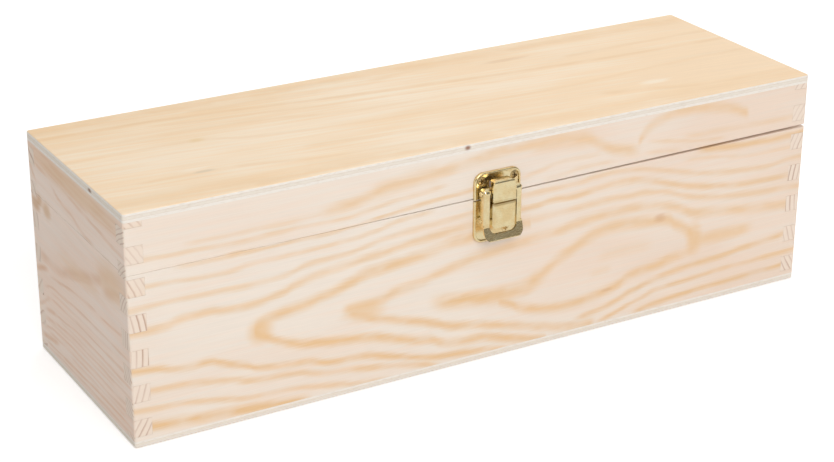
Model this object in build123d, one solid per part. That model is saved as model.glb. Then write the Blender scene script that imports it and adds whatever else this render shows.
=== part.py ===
from build123d import *
import math
import os

# A hinged wooden box for one wine bottle: two finger-jointed pine frames, a plywood top and
# bottom, two butt hinges at the back and a toggle latch at the front.
# Millimetres. X runs along the box, -Y is the front with the latch, and Z is up.
# The origin is the middle of the face that the box stands on.

# ---- boards and panels
length = 350.0  # outside, along X
depth = 110.0  # outside, along Y
base_height = 79.25  # base with its bottom panel, in the middle of its length
lid_height = 26.65  # lid with its top panel
wall = 8.0  # front, back and end boards
bottom_panel = 3.0  # plywood under the base
top_panel = 4.0  # plywood on the lid
seam_gap = 0.1  # between the shut lid and the base
saw_climb = 0.003  # rise of the sawn seam to the right, per millimetre
warp_lift = 1.35  # more gap than that at the lid's right front corner
warp_start = -110.0  # X where the lid's front begins to lift
corner_round = 1.2  # sanded upright corners
panel_round = 0.6  # sanded outer edge of each panel
rim_break = 0.12  # broken outer edge of each sawn rim
rim_angle = 45.0  # degrees

# ---- finger joints
finger = 8.0  # height of one finger
first_finger = 2.0  # from the bottom panel to the end boards' lowest finger
saw_kerf = 1.6  # wood lost where the glued box was sawn into base and lid
glue_line = 0.1  # between two fingers

# ---- screws
screw_shank = 1.0  # radius
screw_head = 1.9  # radius
screw_head_depth = 0.7  # depth of the cone under the head
screw_dome = 0.35  # height of the head's domed top
screw_length = 6.6  # from the top of the cone to the point
screw_point = 1.6  # length of the point
screw_tip = 0.05  # radius at its end
screw_fit = 0.04  # clearance round a shank or a head
recess_length = 2.2  # cross recess, tip to tip
recess_width = 0.5
recess_depth = 0.55
recess_taper = 8.0  # degrees
pilot_spare = 0.4  # hole past the screw's point

# ---- latch, with P as the distance out from the front of the box
latch_x = 0.5  # its middle, right of the box's
latch_width = 24.0
latch_above = 12.2  # strike plate's reach above the seam
latch_below = 20.9  # base plate's reach below the seam
latch_split = 0.4  # half the space between the two plates
split_drop = 0.35  # the middle of that space, below the seam
plate = 0.8  # sheet thickness of all latch pieces
plate_round = 4.6  # outer corners of the two plates
bead = 0.65  # radius of the pressed bead along their edges
bead_sunk = 0.1  # how far its middle is below the plate's face
strike_screw_x = 8.5
strike_screw_z = 8.4  # above the seam
base_screw_x = 4.6
base_screw_z = 16.5  # below the seam
catch_width = 8.0
catch_low = 2.6  # above the seam
catch_high = 7.4
catch_reach = 2.8  # P of its front face
catch_window_spare = 0.3  # gap between the catch and the hole it was cut from
lever_half = 10.0  # half the lever's width
lever_back = 2.0  # P
lever_front = 6.0  # P
lever_side_round = 1.3  # along its two front edges
lever_end = 2.5  # how far it reaches past the pivot
lever_front_bend = 2.5  # where the front bends back over that end
lever_back_bend = 1.4
lever_shoulder = 2.4  # its two upper corners, seen from the front
lever_hollow = 0.8  # the same corners inside
rail_width = 3.0
window_low = 15.3  # lower edge of the lever's window, below the seam
window_high = 4.0  # and its upper edge, above the seam
window_low_round = 3.5
window_high_round = 1.2
mouth_half = 5.0  # half the opening above the window, which clears the catch
lip_bend = 12.1  # where the lip starts to flare, below the seam
lip_foot = 18.3  # its lowest point, below the seam
lip_reach = 8.0  # P of its tip
lip_corner = 4.0
lip_round = 0.35  # along its edge
pivot_p = 3.6
pivot_above = 3.4  # lever's pivot, above the seam
rivet = 0.75  # radius
rivet_head = 1.2
rivet_head_height = 0.45
rivet_tail_height = 0.3
head_round = 0.8  # rounding of a head's rim, as a share of its height
ear_gap = 0.2  # between each ear and the lever's side
ear_round = 1.25  # radius round the pivot
ear_low = 7.0  # lowest point of the ears, below the seam
ear_slope = 3.4  # where the ears start to lean back to the plate, below the pivot
pin_below = 13.0  # draw pin, below the lever's pivot
pin_p = 3.1  # nearer the box than the pivot, so that the shut latch stays shut
draw_pin = 0.65  # radius
pin_head = 1.1
run_fit = 0.06  # radial clearance of a turning pin
draw_half = 6.0  # half the draw plate's width
draw_front = 7.8  # P of its lower face
draw_step = 0.7  # how far its upper face is set back
draw_low = 2.7  # its foot, below the draw pin
draw_step_z = 0.35  # the step, below the seam
draw_top = 9.6  # above the seam
draw_corner = 3.1  # rounded corners of its head
draw_bend = 1.5
draw_edge = 1.1  # bevel along the lower face
flange_top = 3.0  # upper end of its two sides, above the seam
flange_deep = 1.6  # depth of those sides there
flange_lug = 1.3  # radius of their lugs round the pin
hook_gap = 0.3  # between the turned-in hook and the catch

# ---- hinges
hinge_x = 105.0  # from the middle of the box
hinge_length = 25.0
leaf = 0.9  # sheet thickness
leaf_height = 11.0  # from the axis
leaf_round = 1.8
knuckle = 1.7  # radius
knuckle_stand = 0.1  # between the knuckles and the wood
knuckles = 5
knuckle_gap = 0.2
leaf_clear = 0.3  # between a leaf and the other leaf's knuckles
hinge_pin = 0.85  # radius
pin_end = 0.35
hinge_screw_x = 7.8  # from the hinge's middle
hinge_screw_z = 6.6  # from the axis

# ---- worked out from the sizes above
lid_low = base_height + seam_gap
height = lid_low + lid_height
seam = base_height + seam_gap / 2
front_y = -depth / 2
back_y = depth / 2
frame_low = bottom_panel
frame_high = height - top_panel
pivot_z = seam + pivot_above
pin_z = pivot_z - pin_below
split = seam - split_drop
ear_outer = lever_half - plate - ear_gap
axis_y = back_y + knuckle + knuckle_stand
axis_z = seam
past = 1.0  # how far a cutting shape runs past what it cuts
near = 0.01  # how close to its place an edge is looked for

saw_tilt = -math.degrees(math.atan(saw_climb))
saw_spread = saw_climb * length / 2

# The latch's own plane on the front of the box, with the latch's middle at its origin.
front_plane = Plane(origin=(latch_x, front_y, 0), x_dir=(1, 0, 0), z_dir=(0, -1, 0))
back_plane = Plane(origin=(0, back_y, 0), x_dir=(-1, 0, 0), z_dir=(0, 1, 0))
# In this plane the first coordinate is P and the second is Z.
side_plane = Plane(origin=(latch_x, front_y, 0), x_dir=(0, -1, 0), z_dir=(-1, 0, 0))


def block(x0, x1, y0, y1, z0, z1):
    """A box between two corners."""
    middle = Pos((x0 + x1) / 2, (y0 + y1) / 2, (z0 + z1) / 2)
    return middle * Box(x1 - x0, y1 - y0, z1 - z0)


def profile(points):
    """A closed outline in P and Z, on the side plane."""
    return side_plane * make_face(Polyline(*points, close=True))


def across(sketch, x0, x1):
    """Extrudes an outline on the side plane from x0 to x1, as counted from the latch's middle."""
    return Pos(x1, 0, 0) * extrude(sketch, amount=x1 - x0)


def rod(radius, x0, x1, y, z):
    """A cylinder along X."""
    return Pos((x0 + x1) / 2, y, z) * Rot(0, 90, 0) * Cylinder(radius, x1 - x0)


def latch_rod(radius, x0, x1, p, z):
    """A cylinder along X, as counted from the latch's middle and the front of the box."""
    return rod(radius, latch_x + x0, latch_x + x1, front_y - p, z)


def corners_at(sketch, radius, top):
    """Rounds the two upper or the two lower corners of an outline drawn in X and Z."""
    rows = sketch.vertices().group_by(Axis.Z)
    return fillet(rows[-1] if top else rows[0], radius)


# ---------------------------------------------------------------- the wooden box


def rounded_body(z0, z1):
    """The outside of the box between two heights, with its sanded upright corners."""
    outline = Pos(0, 0, z0) * RectangleRounded(length, depth, corner_round)
    return extrude(outline, amount=z1 - z0)


def finger_spans(low, high, shift=0.0):
    """Heights of the end boards' fingers between low and high."""
    spans = []
    bottom = frame_low + first_finger - shift
    while bottom < high:
        if bottom + finger > low:
            spans.append((max(bottom, low), min(bottom + finger, high)))
        bottom += 2 * finger
    return spans


def corner_blocks(spans, grow):
    """The end boards' fingers at all four corners, grown or shrunk by half a glue line."""
    solids = []
    for z0, z1 in spans:
        for side in (-1, 1):
            for face in (-1, 1):
                middle = (side * (length - wall) / 2, face * (depth - wall) / 2)
                size = (wall + 2 * grow, wall + 2 * grow, z1 - z0 + 2 * grow)
                solids.append(Pos(*middle, (z0 + z1) / 2) * Box(*size))
    return solids


def frame_boards(low, high, spans):
    """The four boards of one frame: front, back, left end and right end."""
    body = rounded_body(low, high)
    long_slots = corner_blocks(spans, glue_line / 2)
    boards = []
    for face in (-1, 1):
        y0, y1 = sorted((face * depth / 2, face * (depth / 2 - wall)))
        board = block(-length / 2, length / 2, y0, y1, low, high) - long_slots
        boards.append(board & body)
    for side in (-1, 1):
        x0, x1 = sorted((side * length / 2, side * (length / 2 - wall)))
        inner = depth / 2 - wall - glue_line / 2
        board = block(x0, x1, -inner, inner, low, high)
        tips = [tip for z0, z1 in spans for tip in end_tips(side, z0, z1, low, high)]
        boards.append((board + tips) & body)
    return boards


def end_tips(side, z0, z1, low, high):
    """The two tips of one end board's finger, each a half glue line clear above and below."""
    half = glue_line / 2
    z0 = z0 if z0 <= low else z0 + half
    z1 = z1 if z1 >= high else z1 - half
    x0, x1 = sorted((side * length / 2, side * (length / 2 - wall)))
    inner = depth / 2 - wall - wall / 2
    outer = depth / 2
    return [block(x0, x1, -outer, -inner, z0, z1), block(x0, x1, inner, outer, z0, z1)]


def at_saw_cut(z, solid):
    """Tilts a solid drawn at height 0 to the slope of the saw cut, and lifts it to height z."""
    return Pos(0, 0, z) * Rot(0, saw_tilt, 0) * solid


def rim_cutter(z, up):
    """Cuts off what is beyond the sawn rim at height z, and breaks the rim's outer edge."""
    way = 1 if up else -1
    wide = Rectangle(length + 4 * past, depth + 4 * past)
    deep = way * (rim_break + past)
    ring = extrude(wide, amount=deep)
    plan = RectangleRounded(
        length - 2 * rim_break, depth - 2 * rim_break, corner_round - rim_break
    )
    ring = ring - extrude(plan, amount=deep, taper=-rim_angle)
    beyond = extrude(wide, amount=-way * 2 * (saw_spread + past))
    return at_saw_cut(z, ring + beyond)


def warp_wedges():
    """The extra gap under the lid, which grows to its right front corner."""
    end = length / 2 + past
    rise = warp_lift * (end - warp_start) / (length / 2 - warp_start)
    along = Plane.XZ * make_face(
        Polyline((warp_start, 0), (end, rise), (end, -past), (warp_start, -past), close=True)
    )
    front = Pos(0, front_y + wall + past, 0) * extrude(along, amount=wall + 2 * past)
    end = front_y - past
    rise = warp_lift * (back_y - end) / depth
    back = Plane.YZ * make_face(
        Polyline((back_y, 0), (end, rise), (end, -past), (back_y, -past), close=True)
    )
    right = Pos(length / 2 - wall - past, 0, 0) * extrude(back, amount=wall + 2 * past)
    return at_saw_cut(lid_low, front), at_saw_cut(lid_low, right)


def build_base():
    """The base's four boards and its bottom panel."""
    names = ("base_front", "base_back", "base_left_end", "base_right_end")
    high = base_height + saw_spread + past
    cutter = rim_cutter(base_height, up=False)
    boards = frame_boards(frame_low, high, finger_spans(frame_low, high))
    made = {name: board - cutter for name, board in zip(names, boards)}
    panel = rounded_body(0, bottom_panel)
    made["base_bottom_panel"] = fillet(panel.faces().sort_by(Axis.Z)[0].edges(), panel_round)
    return made


def build_lid():
    """The lid's four boards and its top panel."""
    names = ("lid_front", "lid_back", "lid_left_end", "lid_right_end")
    low = lid_low - saw_spread - past
    spans = finger_spans(low, frame_high, shift=saw_kerf - seam_gap)
    cutter = rim_cutter(lid_low, up=True)
    front_wedge, right_wedge = warp_wedges()
    boards = frame_boards(low, frame_high, spans)
    made = {name: board - cutter for name, board in zip(names, boards)}
    made["lid_front"] = made["lid_front"] - front_wedge
    made["lid_right_end"] = made["lid_right_end"] - right_wedge
    panel = rounded_body(frame_high, height)
    made["lid_top_panel"] = fillet(panel.faces().sort_by(Axis.Z)[-1].edges(), panel_round)
    return made


# ---------------------------------------------------------------- screws


def screw():
    """A domed countersunk wood screw along -Z, with the top of its cone at the origin."""
    cone = Pos(0, 0, -screw_head_depth / 2) * Cone(screw_shank, screw_head, screw_head_depth)
    ball = (screw_head**2 + screw_dome**2) / (2 * screw_dome)
    dome = Pos(0, 0, screw_dome - ball) * Sphere(ball)
    dome = dome & Pos(0, 0, screw_dome / 2) * Cylinder(screw_head, screw_dome)
    straight = screw_length - screw_head_depth - screw_point
    shank = Pos(0, 0, -screw_head_depth - straight / 2) * Cylinder(screw_shank, straight)
    tip = Pos(0, 0, screw_point / 2 - screw_length) * Cone(screw_tip, screw_shank, screw_point)
    cross = Rectangle(recess_length, recess_width) + Rectangle(recess_width, recess_length)
    recess = extrude(Pos(0, 0, screw_dome) * cross, amount=-recess_depth, taper=recess_taper)
    return dome + cone + shank + tip - recess


def screw_hole():
    """What a screw needs in the sheet and the wood, drawn as the screw is."""
    top = screw_head + screw_fit
    cone = Pos(0, 0, -screw_head_depth / 2) * Cone(
        screw_shank + screw_fit, top, screw_head_depth
    )
    mouth = Pos(0, 0, screw_dome / 2 + past / 2) * Cylinder(top, screw_dome + past)
    bore = screw_length + pilot_spare
    return cone + mouth + Pos(0, 0, -bore / 2) * Cylinder(screw_shank + screw_fit, bore)


def on_front(x, z):
    """The place of a latch screw."""
    return front_plane.offset(plate) * Pos(x, z, 0)


def on_back(x, z):
    """The place of a hinge screw."""
    return back_plane.offset(leaf) * Pos(-x, z, 0)


def strike_places():
    return [on_front(side * strike_screw_x, seam + strike_screw_z) for side in (-1, 1)]


def base_plate_places():
    return [on_front(side * base_screw_x, seam - base_screw_z) for side in (-1, 1)]


def leaf_places(x, up):
    way = 1 if up else -1
    z = axis_z + way * hinge_screw_z
    return [on_back(x + side * hinge_screw_x, z) for side in (-1, 1)]


def drilled(solid, places):
    """Cuts the screws' holes at the given places."""
    for place in places:
        solid = solid - place * screw_hole()
    return solid


def screws_at(places):
    """Loose screws as a group."""
    return Compound(children=[place * screw() for place in places])


# ---------------------------------------------------------------- latch


def pressed_plate(low, high, round_top):
    """A flat plate on the front of the box with a bead along its two sides and its round end."""
    middle = (low + high) / 2
    outline = front_plane * Pos(0, middle) * Rectangle(latch_width, high - low)
    sheet = extrude(corners_at(outline, plate_round, round_top), amount=plate)
    way = 1 if round_top else -1
    open_end, far_end = (low, high) if round_top else (high, low)
    side = latch_width / 2 - bead
    far = far_end - way * bead
    bend = plate_round - bead
    line = FilletPolyline(
        (-side, open_end), (-side, far), (side, far), (side, open_end), radius=bend
    )
    path = front_plane.offset(plate - bead_sunk) * line
    section = Plane(origin=path @ 0, z_dir=path % 0) * Circle(bead)
    ridge = sweep(section, path=path)
    outside = front_plane * Pos(0, middle) * Rectangle(latch_width, high - low)
    return sheet + (ridge & extrude(outside, amount=plate + bead + past))


def strike_plate():
    """The plate on the lid, with its catch turned out and up from a window."""
    body = pressed_plate(split + latch_split, seam + latch_above, round_top=True)
    low, high = seam + catch_low, seam + catch_high
    half = catch_width / 2
    gap = catch_window_spare
    window = block(
        latch_x - half - gap, latch_x + half + gap,
        front_y - plate - past, front_y + past,
        low + plate, high + gap,
    )
    reach = catch_reach
    hook = profile(
        [
            (plate / 2, low), (reach, low), (reach, high), (reach - plate, high),
            (reach - plate, low + plate), (plate / 2, low + plate),
        ]
    )
    hook = across(hook, -half, half)
    heel = [
        edge
        for edge in hook.edges().filter_by(Axis.X)
        if abs(edge.center().Z - low) < near and abs(front_y - reach - edge.center().Y) < near
    ]
    hook = fillet(heel, plate)
    return drilled(body - window + hook, strike_places())


def ear(side):
    """One ear of the base plate, which reaches past the seam to the lever's pivot."""
    low, high = seam - ear_low, split - latch_split
    front, back = pivot_p + ear_round, pivot_p - ear_round
    shape = [
        (plate / 2, low), (plate, low), (front, pivot_z - ear_slope), (front, pivot_z),
        (back, pivot_z), (back, high), (plate / 2, high),
    ]
    x0, x1 = sorted((side * ear_outer, side * (ear_outer - plate)))
    flat = across(profile(shape), x0, x1) + latch_rod(ear_round, x0, x1, pivot_p, pivot_z)
    return flat - latch_rod(rivet, x0 - past, x1 + past, pivot_p, pivot_z)


def latch_base_plate():
    """The plate on the base, with two ears for the lever."""
    body = pressed_plate(seam - latch_below, split - latch_split, round_top=False)
    return drilled(body + ear(-1) + ear(1), base_plate_places())


def arm_outline(back, front, low, top, front_bend, back_bend):
    """The lever's side seen from its end: square below, bent over at the top."""
    sheet = Pos((back + front) / 2, (low + top) / 2) * Rectangle(front - back, top - low)
    corners = sheet.vertices().group_by(Axis.Y)[-1].sort_by(Axis.X)
    sheet = fillet(corners[-1], front_bend)
    if back_bend:
        corners = sheet.vertices().group_by(Axis.Y)[-1].sort_by(Axis.X)
        sheet = fillet(corners[0], back_bend)
    return side_plane * sheet


def shouldered(solid, half, low, top, shoulder):
    """Rounds the lever's upper corners as seen from the front."""
    seen = front_plane * Pos(0, (low + top) / 2) * Rectangle(2 * half, top - low)
    return solid & extrude(corners_at(seen, shoulder, top=True), amount=lever_front + past)


def lever_frame():
    """The lever's two sides, its front, and the end bent back over the pivot."""
    low, top = seam - lip_bend, pivot_z + lever_end
    outer = arm_outline(lever_back, lever_front, low, top, lever_front_bend, lever_back_bend)
    inner = arm_outline(
        lever_back - past, lever_front - plate, low - past, top - plate,
        lever_front_bend - plate, 0,
    )
    solid = across(outer, -lever_half, lever_half)
    front_edges = [
        edge for edge in solid.edges().filter_by(Axis.Z)
        if abs(edge.center().Y - front_y + lever_front) < near
    ]
    solid = fillet(front_edges, lever_side_round)
    solid = shouldered(solid, lever_half, low, top, lever_shoulder)
    half = lever_half - plate
    hollow = across(inner, -half, half)
    return solid - shouldered(hollow, half, low - past, top - plate, lever_hollow)


def lever_lip():
    """The lower end of the lever's front, which flares out for a finger to lift."""
    bend, foot = seam - lip_bend, seam - lip_foot
    run, drop = lip_reach - lever_front, bend - foot
    slant = math.hypot(run, drop)
    along = (run / slant, -drop / slant)
    inward = (-drop / slant * plate, -run / slant * plate)
    tip = (lip_reach, foot)
    under = (tip[0] + inward[0], tip[1] + inward[1])
    back = lever_front - plate
    rise = (under[0] - back) / along[0]
    knee = (back, under[1] - rise * along[1])
    top = bend + plate
    shape = profile([(lever_front, top), (lever_front, bend), tip, under, knee, (back, top)])
    sheet = across(shape, -lever_half, lever_half)
    long_edges = sheet.edges().filter_by(Axis.X)
    sheet = fillet([edge for edge in long_edges if edge.center().Z < foot + near], lip_round)
    seen = front_plane * Pos(0, (top + under[1]) / 2) * Rectangle(2 * lever_half, top - under[1])
    return sheet & extrude(corners_at(seen, lip_corner, top=False), amount=lip_reach + past)


def lever_window():
    """What is cut from the lever's front: a window, and a narrower mouth above it."""
    half = lever_half - rail_width
    low, high = seam - window_low, seam + window_high
    window = front_plane * Pos(0, (low + high) / 2) * Rectangle(2 * half, high - low)
    window = corners_at(window, window_low_round, top=False)
    window = corners_at(window, window_high_round, top=True)
    mouth_low, mouth_high = high - past, pivot_z + lever_end + past
    mouth = front_plane * Pos(0, (mouth_low + mouth_high) / 2) * Rectangle(
        2 * mouth_half, mouth_high - mouth_low
    )
    return extrude(window, amount=lip_reach + past) + extrude(mouth, amount=lip_reach + past)


def latch_lever():
    """The lever: a cup of sheet with a window for the draw plate and a lip below."""
    body = lever_frame() + lever_lip() - lever_window()
    for side in (-1, 1):
        x0, x1 = sorted((side * (lever_half - plate - past), side * (lever_half + past)))
        body = body - latch_rod(rivet + run_fit, x0, x1, pivot_p, pivot_z)
        body = body - latch_rod(draw_pin, x0, x1, pin_p, pin_z)
    return body


def headed(side, x, p, z, radius, height):
    """A flat head with a rounded rim, outwards from x."""
    x0, x1 = sorted((x, x + side * height))
    cap = latch_rod(radius, x0, x1, p, z)
    rim = cap.edges().filter_by(GeomType.CIRCLE).sort_by(Axis.X)[-1 if side > 0 else 0]
    return fillet(rim, height * head_round)


def latch_rivets():
    """The two rivets that the lever turns on, one in each ear."""
    rivets = []
    for side in (-1, 1):
        inner = side * (ear_outer - plate)
        outer = side * (lever_half + run_fit)
        shank = latch_rod(rivet, *sorted((inner, outer)), pivot_p, pivot_z)
        tail = headed(-side, inner, pivot_p, pivot_z, rivet_head, rivet_tail_height)
        head = headed(side, outer, pivot_p, pivot_z, rivet_head, rivet_head_height)
        rivets.append(shank + tail + head)
    return Compound(children=rivets)


def draw_sheet():
    """The draw plate's face: a low panel, a step, the head and the turned-in hook."""
    foot, top = pin_z - draw_low, seam + draw_top
    face, head = draw_front, draw_front - draw_step
    step = seam - draw_step_z
    hook = catch_reach + hook_gap
    lean = plate * (math.sqrt(2) - 1)
    shape = profile(
        [
            (face, foot), (face, step), (head, step + draw_step), (head, top), (hook, top),
            (hook, top - plate), (head - plate, top - plate),
            (head - plate, step + draw_step - lean), (face - plate, step - lean),
            (face - plate, foot),
        ]
    )
    sheet = across(shape, -draw_half, draw_half)
    edges = sheet.edges().filter_by(Axis.X)
    outer = [
        edge for edge in edges
        if edge.center().Z > top - near and edge.center().Y < front_y - head + near
    ]
    sheet = fillet(outer, draw_bend)
    edges = sheet.edges().filter_by(Axis.X)
    inner_y = front_y - head + plate
    inner = [
        edge for edge in edges
        if abs(edge.center().Z - top + plate) < near and abs(edge.center().Y - inner_y) < near
    ]
    return fillet(inner, draw_bend - plate)


def draw_flange_outline():
    """One side of the draw plate, in P and Z, down to its lug round the pin."""
    top, step = seam + flange_top, seam - draw_step_z
    face, head = draw_front - plate / 2, draw_front - draw_step - plate / 2
    touch = math.radians(rim_angle)
    lug = (pin_p - flange_lug * math.cos(touch), pin_z + flange_lug * math.sin(touch))
    return profile(
        [
            (face, pin_z - draw_low + plate), (face, step), (head, step + draw_step), (head, top),
            (head - flange_deep, top), (head - flange_deep, step), lug,
            (pin_p, pin_z - flange_lug),
        ]
    )


def draw_bevel(side, low, high):
    """A bar set at 45 degrees, which cuts the bevel along one edge of the lower face."""
    bar = 2 * draw_edge * math.sqrt(2)
    out = bar / 2 / math.sqrt(2) - draw_edge / 2
    place = Pos(latch_x + side * (draw_half + out), front_y - draw_front - out, (low + high) / 2)
    return place * Rot(0, 0, rim_angle) * Box(bar, bar, high - low)


def draw_plate():
    """The plate that the lever pulls down on the catch."""
    body = draw_sheet()
    for side in (-1, 1):
        x0, x1 = sorted((side * draw_half, side * (draw_half - plate)))
        flange = across(draw_flange_outline(), x0, x1)
        flange = flange + latch_rod(flange_lug, x0, x1, pin_p, pin_z)
        bore = latch_rod(draw_pin + run_fit, x0 - past, x1 + past, pin_p, pin_z)
        body = body + (flange - bore)
    foot, top = pin_z - draw_low, seam + draw_top
    seen = front_plane * Pos(0, (foot + top) / 2) * Rectangle(2 * draw_half, top - foot)
    seen = corners_at(seen, draw_corner, top=True)
    body = body & extrude(seen, amount=draw_front + past)
    return body - [draw_bevel(side, foot - past, seam - draw_step_z) for side in (-1, 1)]


def draw_pin_solid():
    """The pin that joins the draw plate to the lever, with a flat head at each end."""
    shape = latch_rod(draw_pin, -lever_half, lever_half, pin_p, pin_z)
    for side in (-1, 1):
        head = headed(side, side * lever_half, pin_p, pin_z, pin_head, rivet_head_height)
        shape = shape + head
    return shape


# ---------------------------------------------------------------- hinges


def knuckle_spans(x, first):
    """X ranges of every second knuckle of the hinge at x, from the first or the second on."""
    pitch = hinge_length / knuckles
    start = x - hinge_length / 2
    spans = []
    for index in range(first, knuckles, 2):
        low = start + index * pitch + (knuckle_gap / 2 if index else 0)
        last = index == knuckles - 1
        high = start + (index + 1) * pitch - (0 if last else knuckle_gap / 2)
        spans.append((low, high))
    return spans


def hinge_leaf(x, up, first, bore):
    """One leaf with its own knuckles, cleared for the other leaf's."""
    way = 1 if up else -1
    half = hinge_length / 2
    outline = back_plane * Pos(-x, axis_z + way * leaf_height / 2) * Rectangle(
        hinge_length, leaf_height
    )
    sheet = extrude(corners_at(outline, leaf_round, top=up), amount=leaf)
    clear = knuckle + leaf_clear
    z0, z1 = sorted((axis_z - way * past, axis_z + way * clear))
    sheet = sheet - block(x - half - past, x + half + past, back_y - past, axis_y, z0, z1)
    for x0, x1 in knuckle_spans(x, first):
        z0, z1 = sorted((axis_z, axis_z + way * (clear + past)))
        sheet = sheet + block(x0, x1, back_y, back_y + leaf, z0, z1)
        sheet = sheet + rod(knuckle, x0, x1, axis_y, axis_z)
    sheet = sheet - rod(bore, x - half - past, x + half + past, axis_y, axis_z)
    return drilled(sheet, leaf_places(x, up))


def hinge_pin_solid(x):
    """The pin, with a rounded end just past the knuckles on each side."""
    half = hinge_length / 2 + pin_end
    shape = rod(hinge_pin, x - half, x + half, axis_y, axis_z)
    return fillet(shape.edges().filter_by(GeomType.CIRCLE), pin_end * head_round)


def build_hinge(side, x):
    """All pieces of one hinge."""
    return {
        f"{side}_hinge_base_leaf": hinge_leaf(x, False, 0, hinge_pin),
        f"{side}_hinge_lid_leaf": hinge_leaf(x, True, 1, hinge_pin + run_fit),
        f"{side}_hinge_pin": hinge_pin_solid(x),
        f"{side}_hinge_base_screws": screws_at(leaf_places(x, False)),
        f"{side}_hinge_lid_screws": screws_at(leaf_places(x, True)),
    }


def build_latch():
    """All pieces of the latch."""
    return {
        "latch_strike_plate": strike_plate(),
        "latch_base_plate": latch_base_plate(),
        "latch_lever": latch_lever(),
        "latch_lever_rivets": latch_rivets(),
        "latch_draw_plate": draw_plate(),
        "latch_draw_pin": draw_pin_solid(),
        "latch_strike_screws": screws_at(strike_places()),
        "latch_base_screws": screws_at(base_plate_places()),
    }


def build_all():
    """Every piece by name, with the boards drilled for their screws."""
    parts = {**build_base(), **build_lid(), **build_latch()}
    for side, x in (("left", -hinge_x), ("right", hinge_x)):
        parts.update(build_hinge(side, x))
        parts["base_back"] = drilled(parts["base_back"], leaf_places(x, False))
        parts["lid_back"] = drilled(parts["lid_back"], leaf_places(x, True))
    parts["base_front"] = drilled(parts["base_front"], base_plate_places())
    parts["lid_front"] = drilled(parts["lid_front"], strike_places())
    return parts


os.makedirs("parts", exist_ok=True)
for name, solid in build_all().items():
    export_step(solid, f"parts/{name}.step")
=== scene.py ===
"""Looks of a finger-jointed pine box for one wine bottle, with a brass-plated toggle latch.

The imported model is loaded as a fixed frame. Every piece of it keeps its shape and gets a
procedural finish: sanded pine with the figure of its boards, thin plywood, and bright plated
brass. Lengths are millimetres unless a name says otherwise.
"""

import logging
from dataclasses import dataclass, field
from enum import Enum
from typing import Optional, Sequence, Union

import bpy
from mathutils import Matrix, Vector


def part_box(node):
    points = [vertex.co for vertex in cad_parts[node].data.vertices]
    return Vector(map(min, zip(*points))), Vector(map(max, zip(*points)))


LOG = logging.getLogger("wine_box")
MM_PER_METRE = 1000.0

Socket = bpy.types.NodeSocket
Feed = Union[Socket, float, Sequence[float]]
Point = tuple[float, float]
Place = tuple[float, float, float]

WHITE = (1.0, 1.0, 1.0, 1.0)
FLAT = 1e-6

# A Mix node has sockets for every kind of data under the same names. These are its colours'.
MIX_SHARE, MIX_FIRST, MIX_SECOND = 0, 6, 7
MIXED = 2

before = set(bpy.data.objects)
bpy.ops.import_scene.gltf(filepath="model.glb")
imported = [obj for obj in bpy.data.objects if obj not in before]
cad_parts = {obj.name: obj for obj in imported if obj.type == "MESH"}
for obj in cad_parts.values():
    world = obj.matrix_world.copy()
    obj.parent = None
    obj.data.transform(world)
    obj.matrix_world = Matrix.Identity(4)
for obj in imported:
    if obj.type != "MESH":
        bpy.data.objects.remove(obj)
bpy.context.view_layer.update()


class Axis(Enum):
    """A row axis, by its index in a vector."""

    X = 0
    Y = 1
    Z = 2


class Interpolation(Enum):
    """How a step of a value runs from low to high."""

    LINEAR = "LINEAR"
    SMOOTH = "SMOOTHSTEP"


@dataclass(frozen=True)
class Colour:
    """A surface colour as it looks on a screen, each channel from 0 to 255."""

    red: float
    green: float
    blue: float

    def linear(self) -> tuple[float, float, float, float]:
        """Turns the colour into what a shader takes.

        Returns:
            Its channels in linear light, with an alpha of 1.
        """
        channels = []
        for value in (self.red, self.green, self.blue):
            share = value / 255.0
            low = share / 12.92
            high = ((share + 0.055) / 1.055) ** 2.4
            channels.append(low if share <= 0.04045 else high)
        return (*channels, 1.0)


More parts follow.
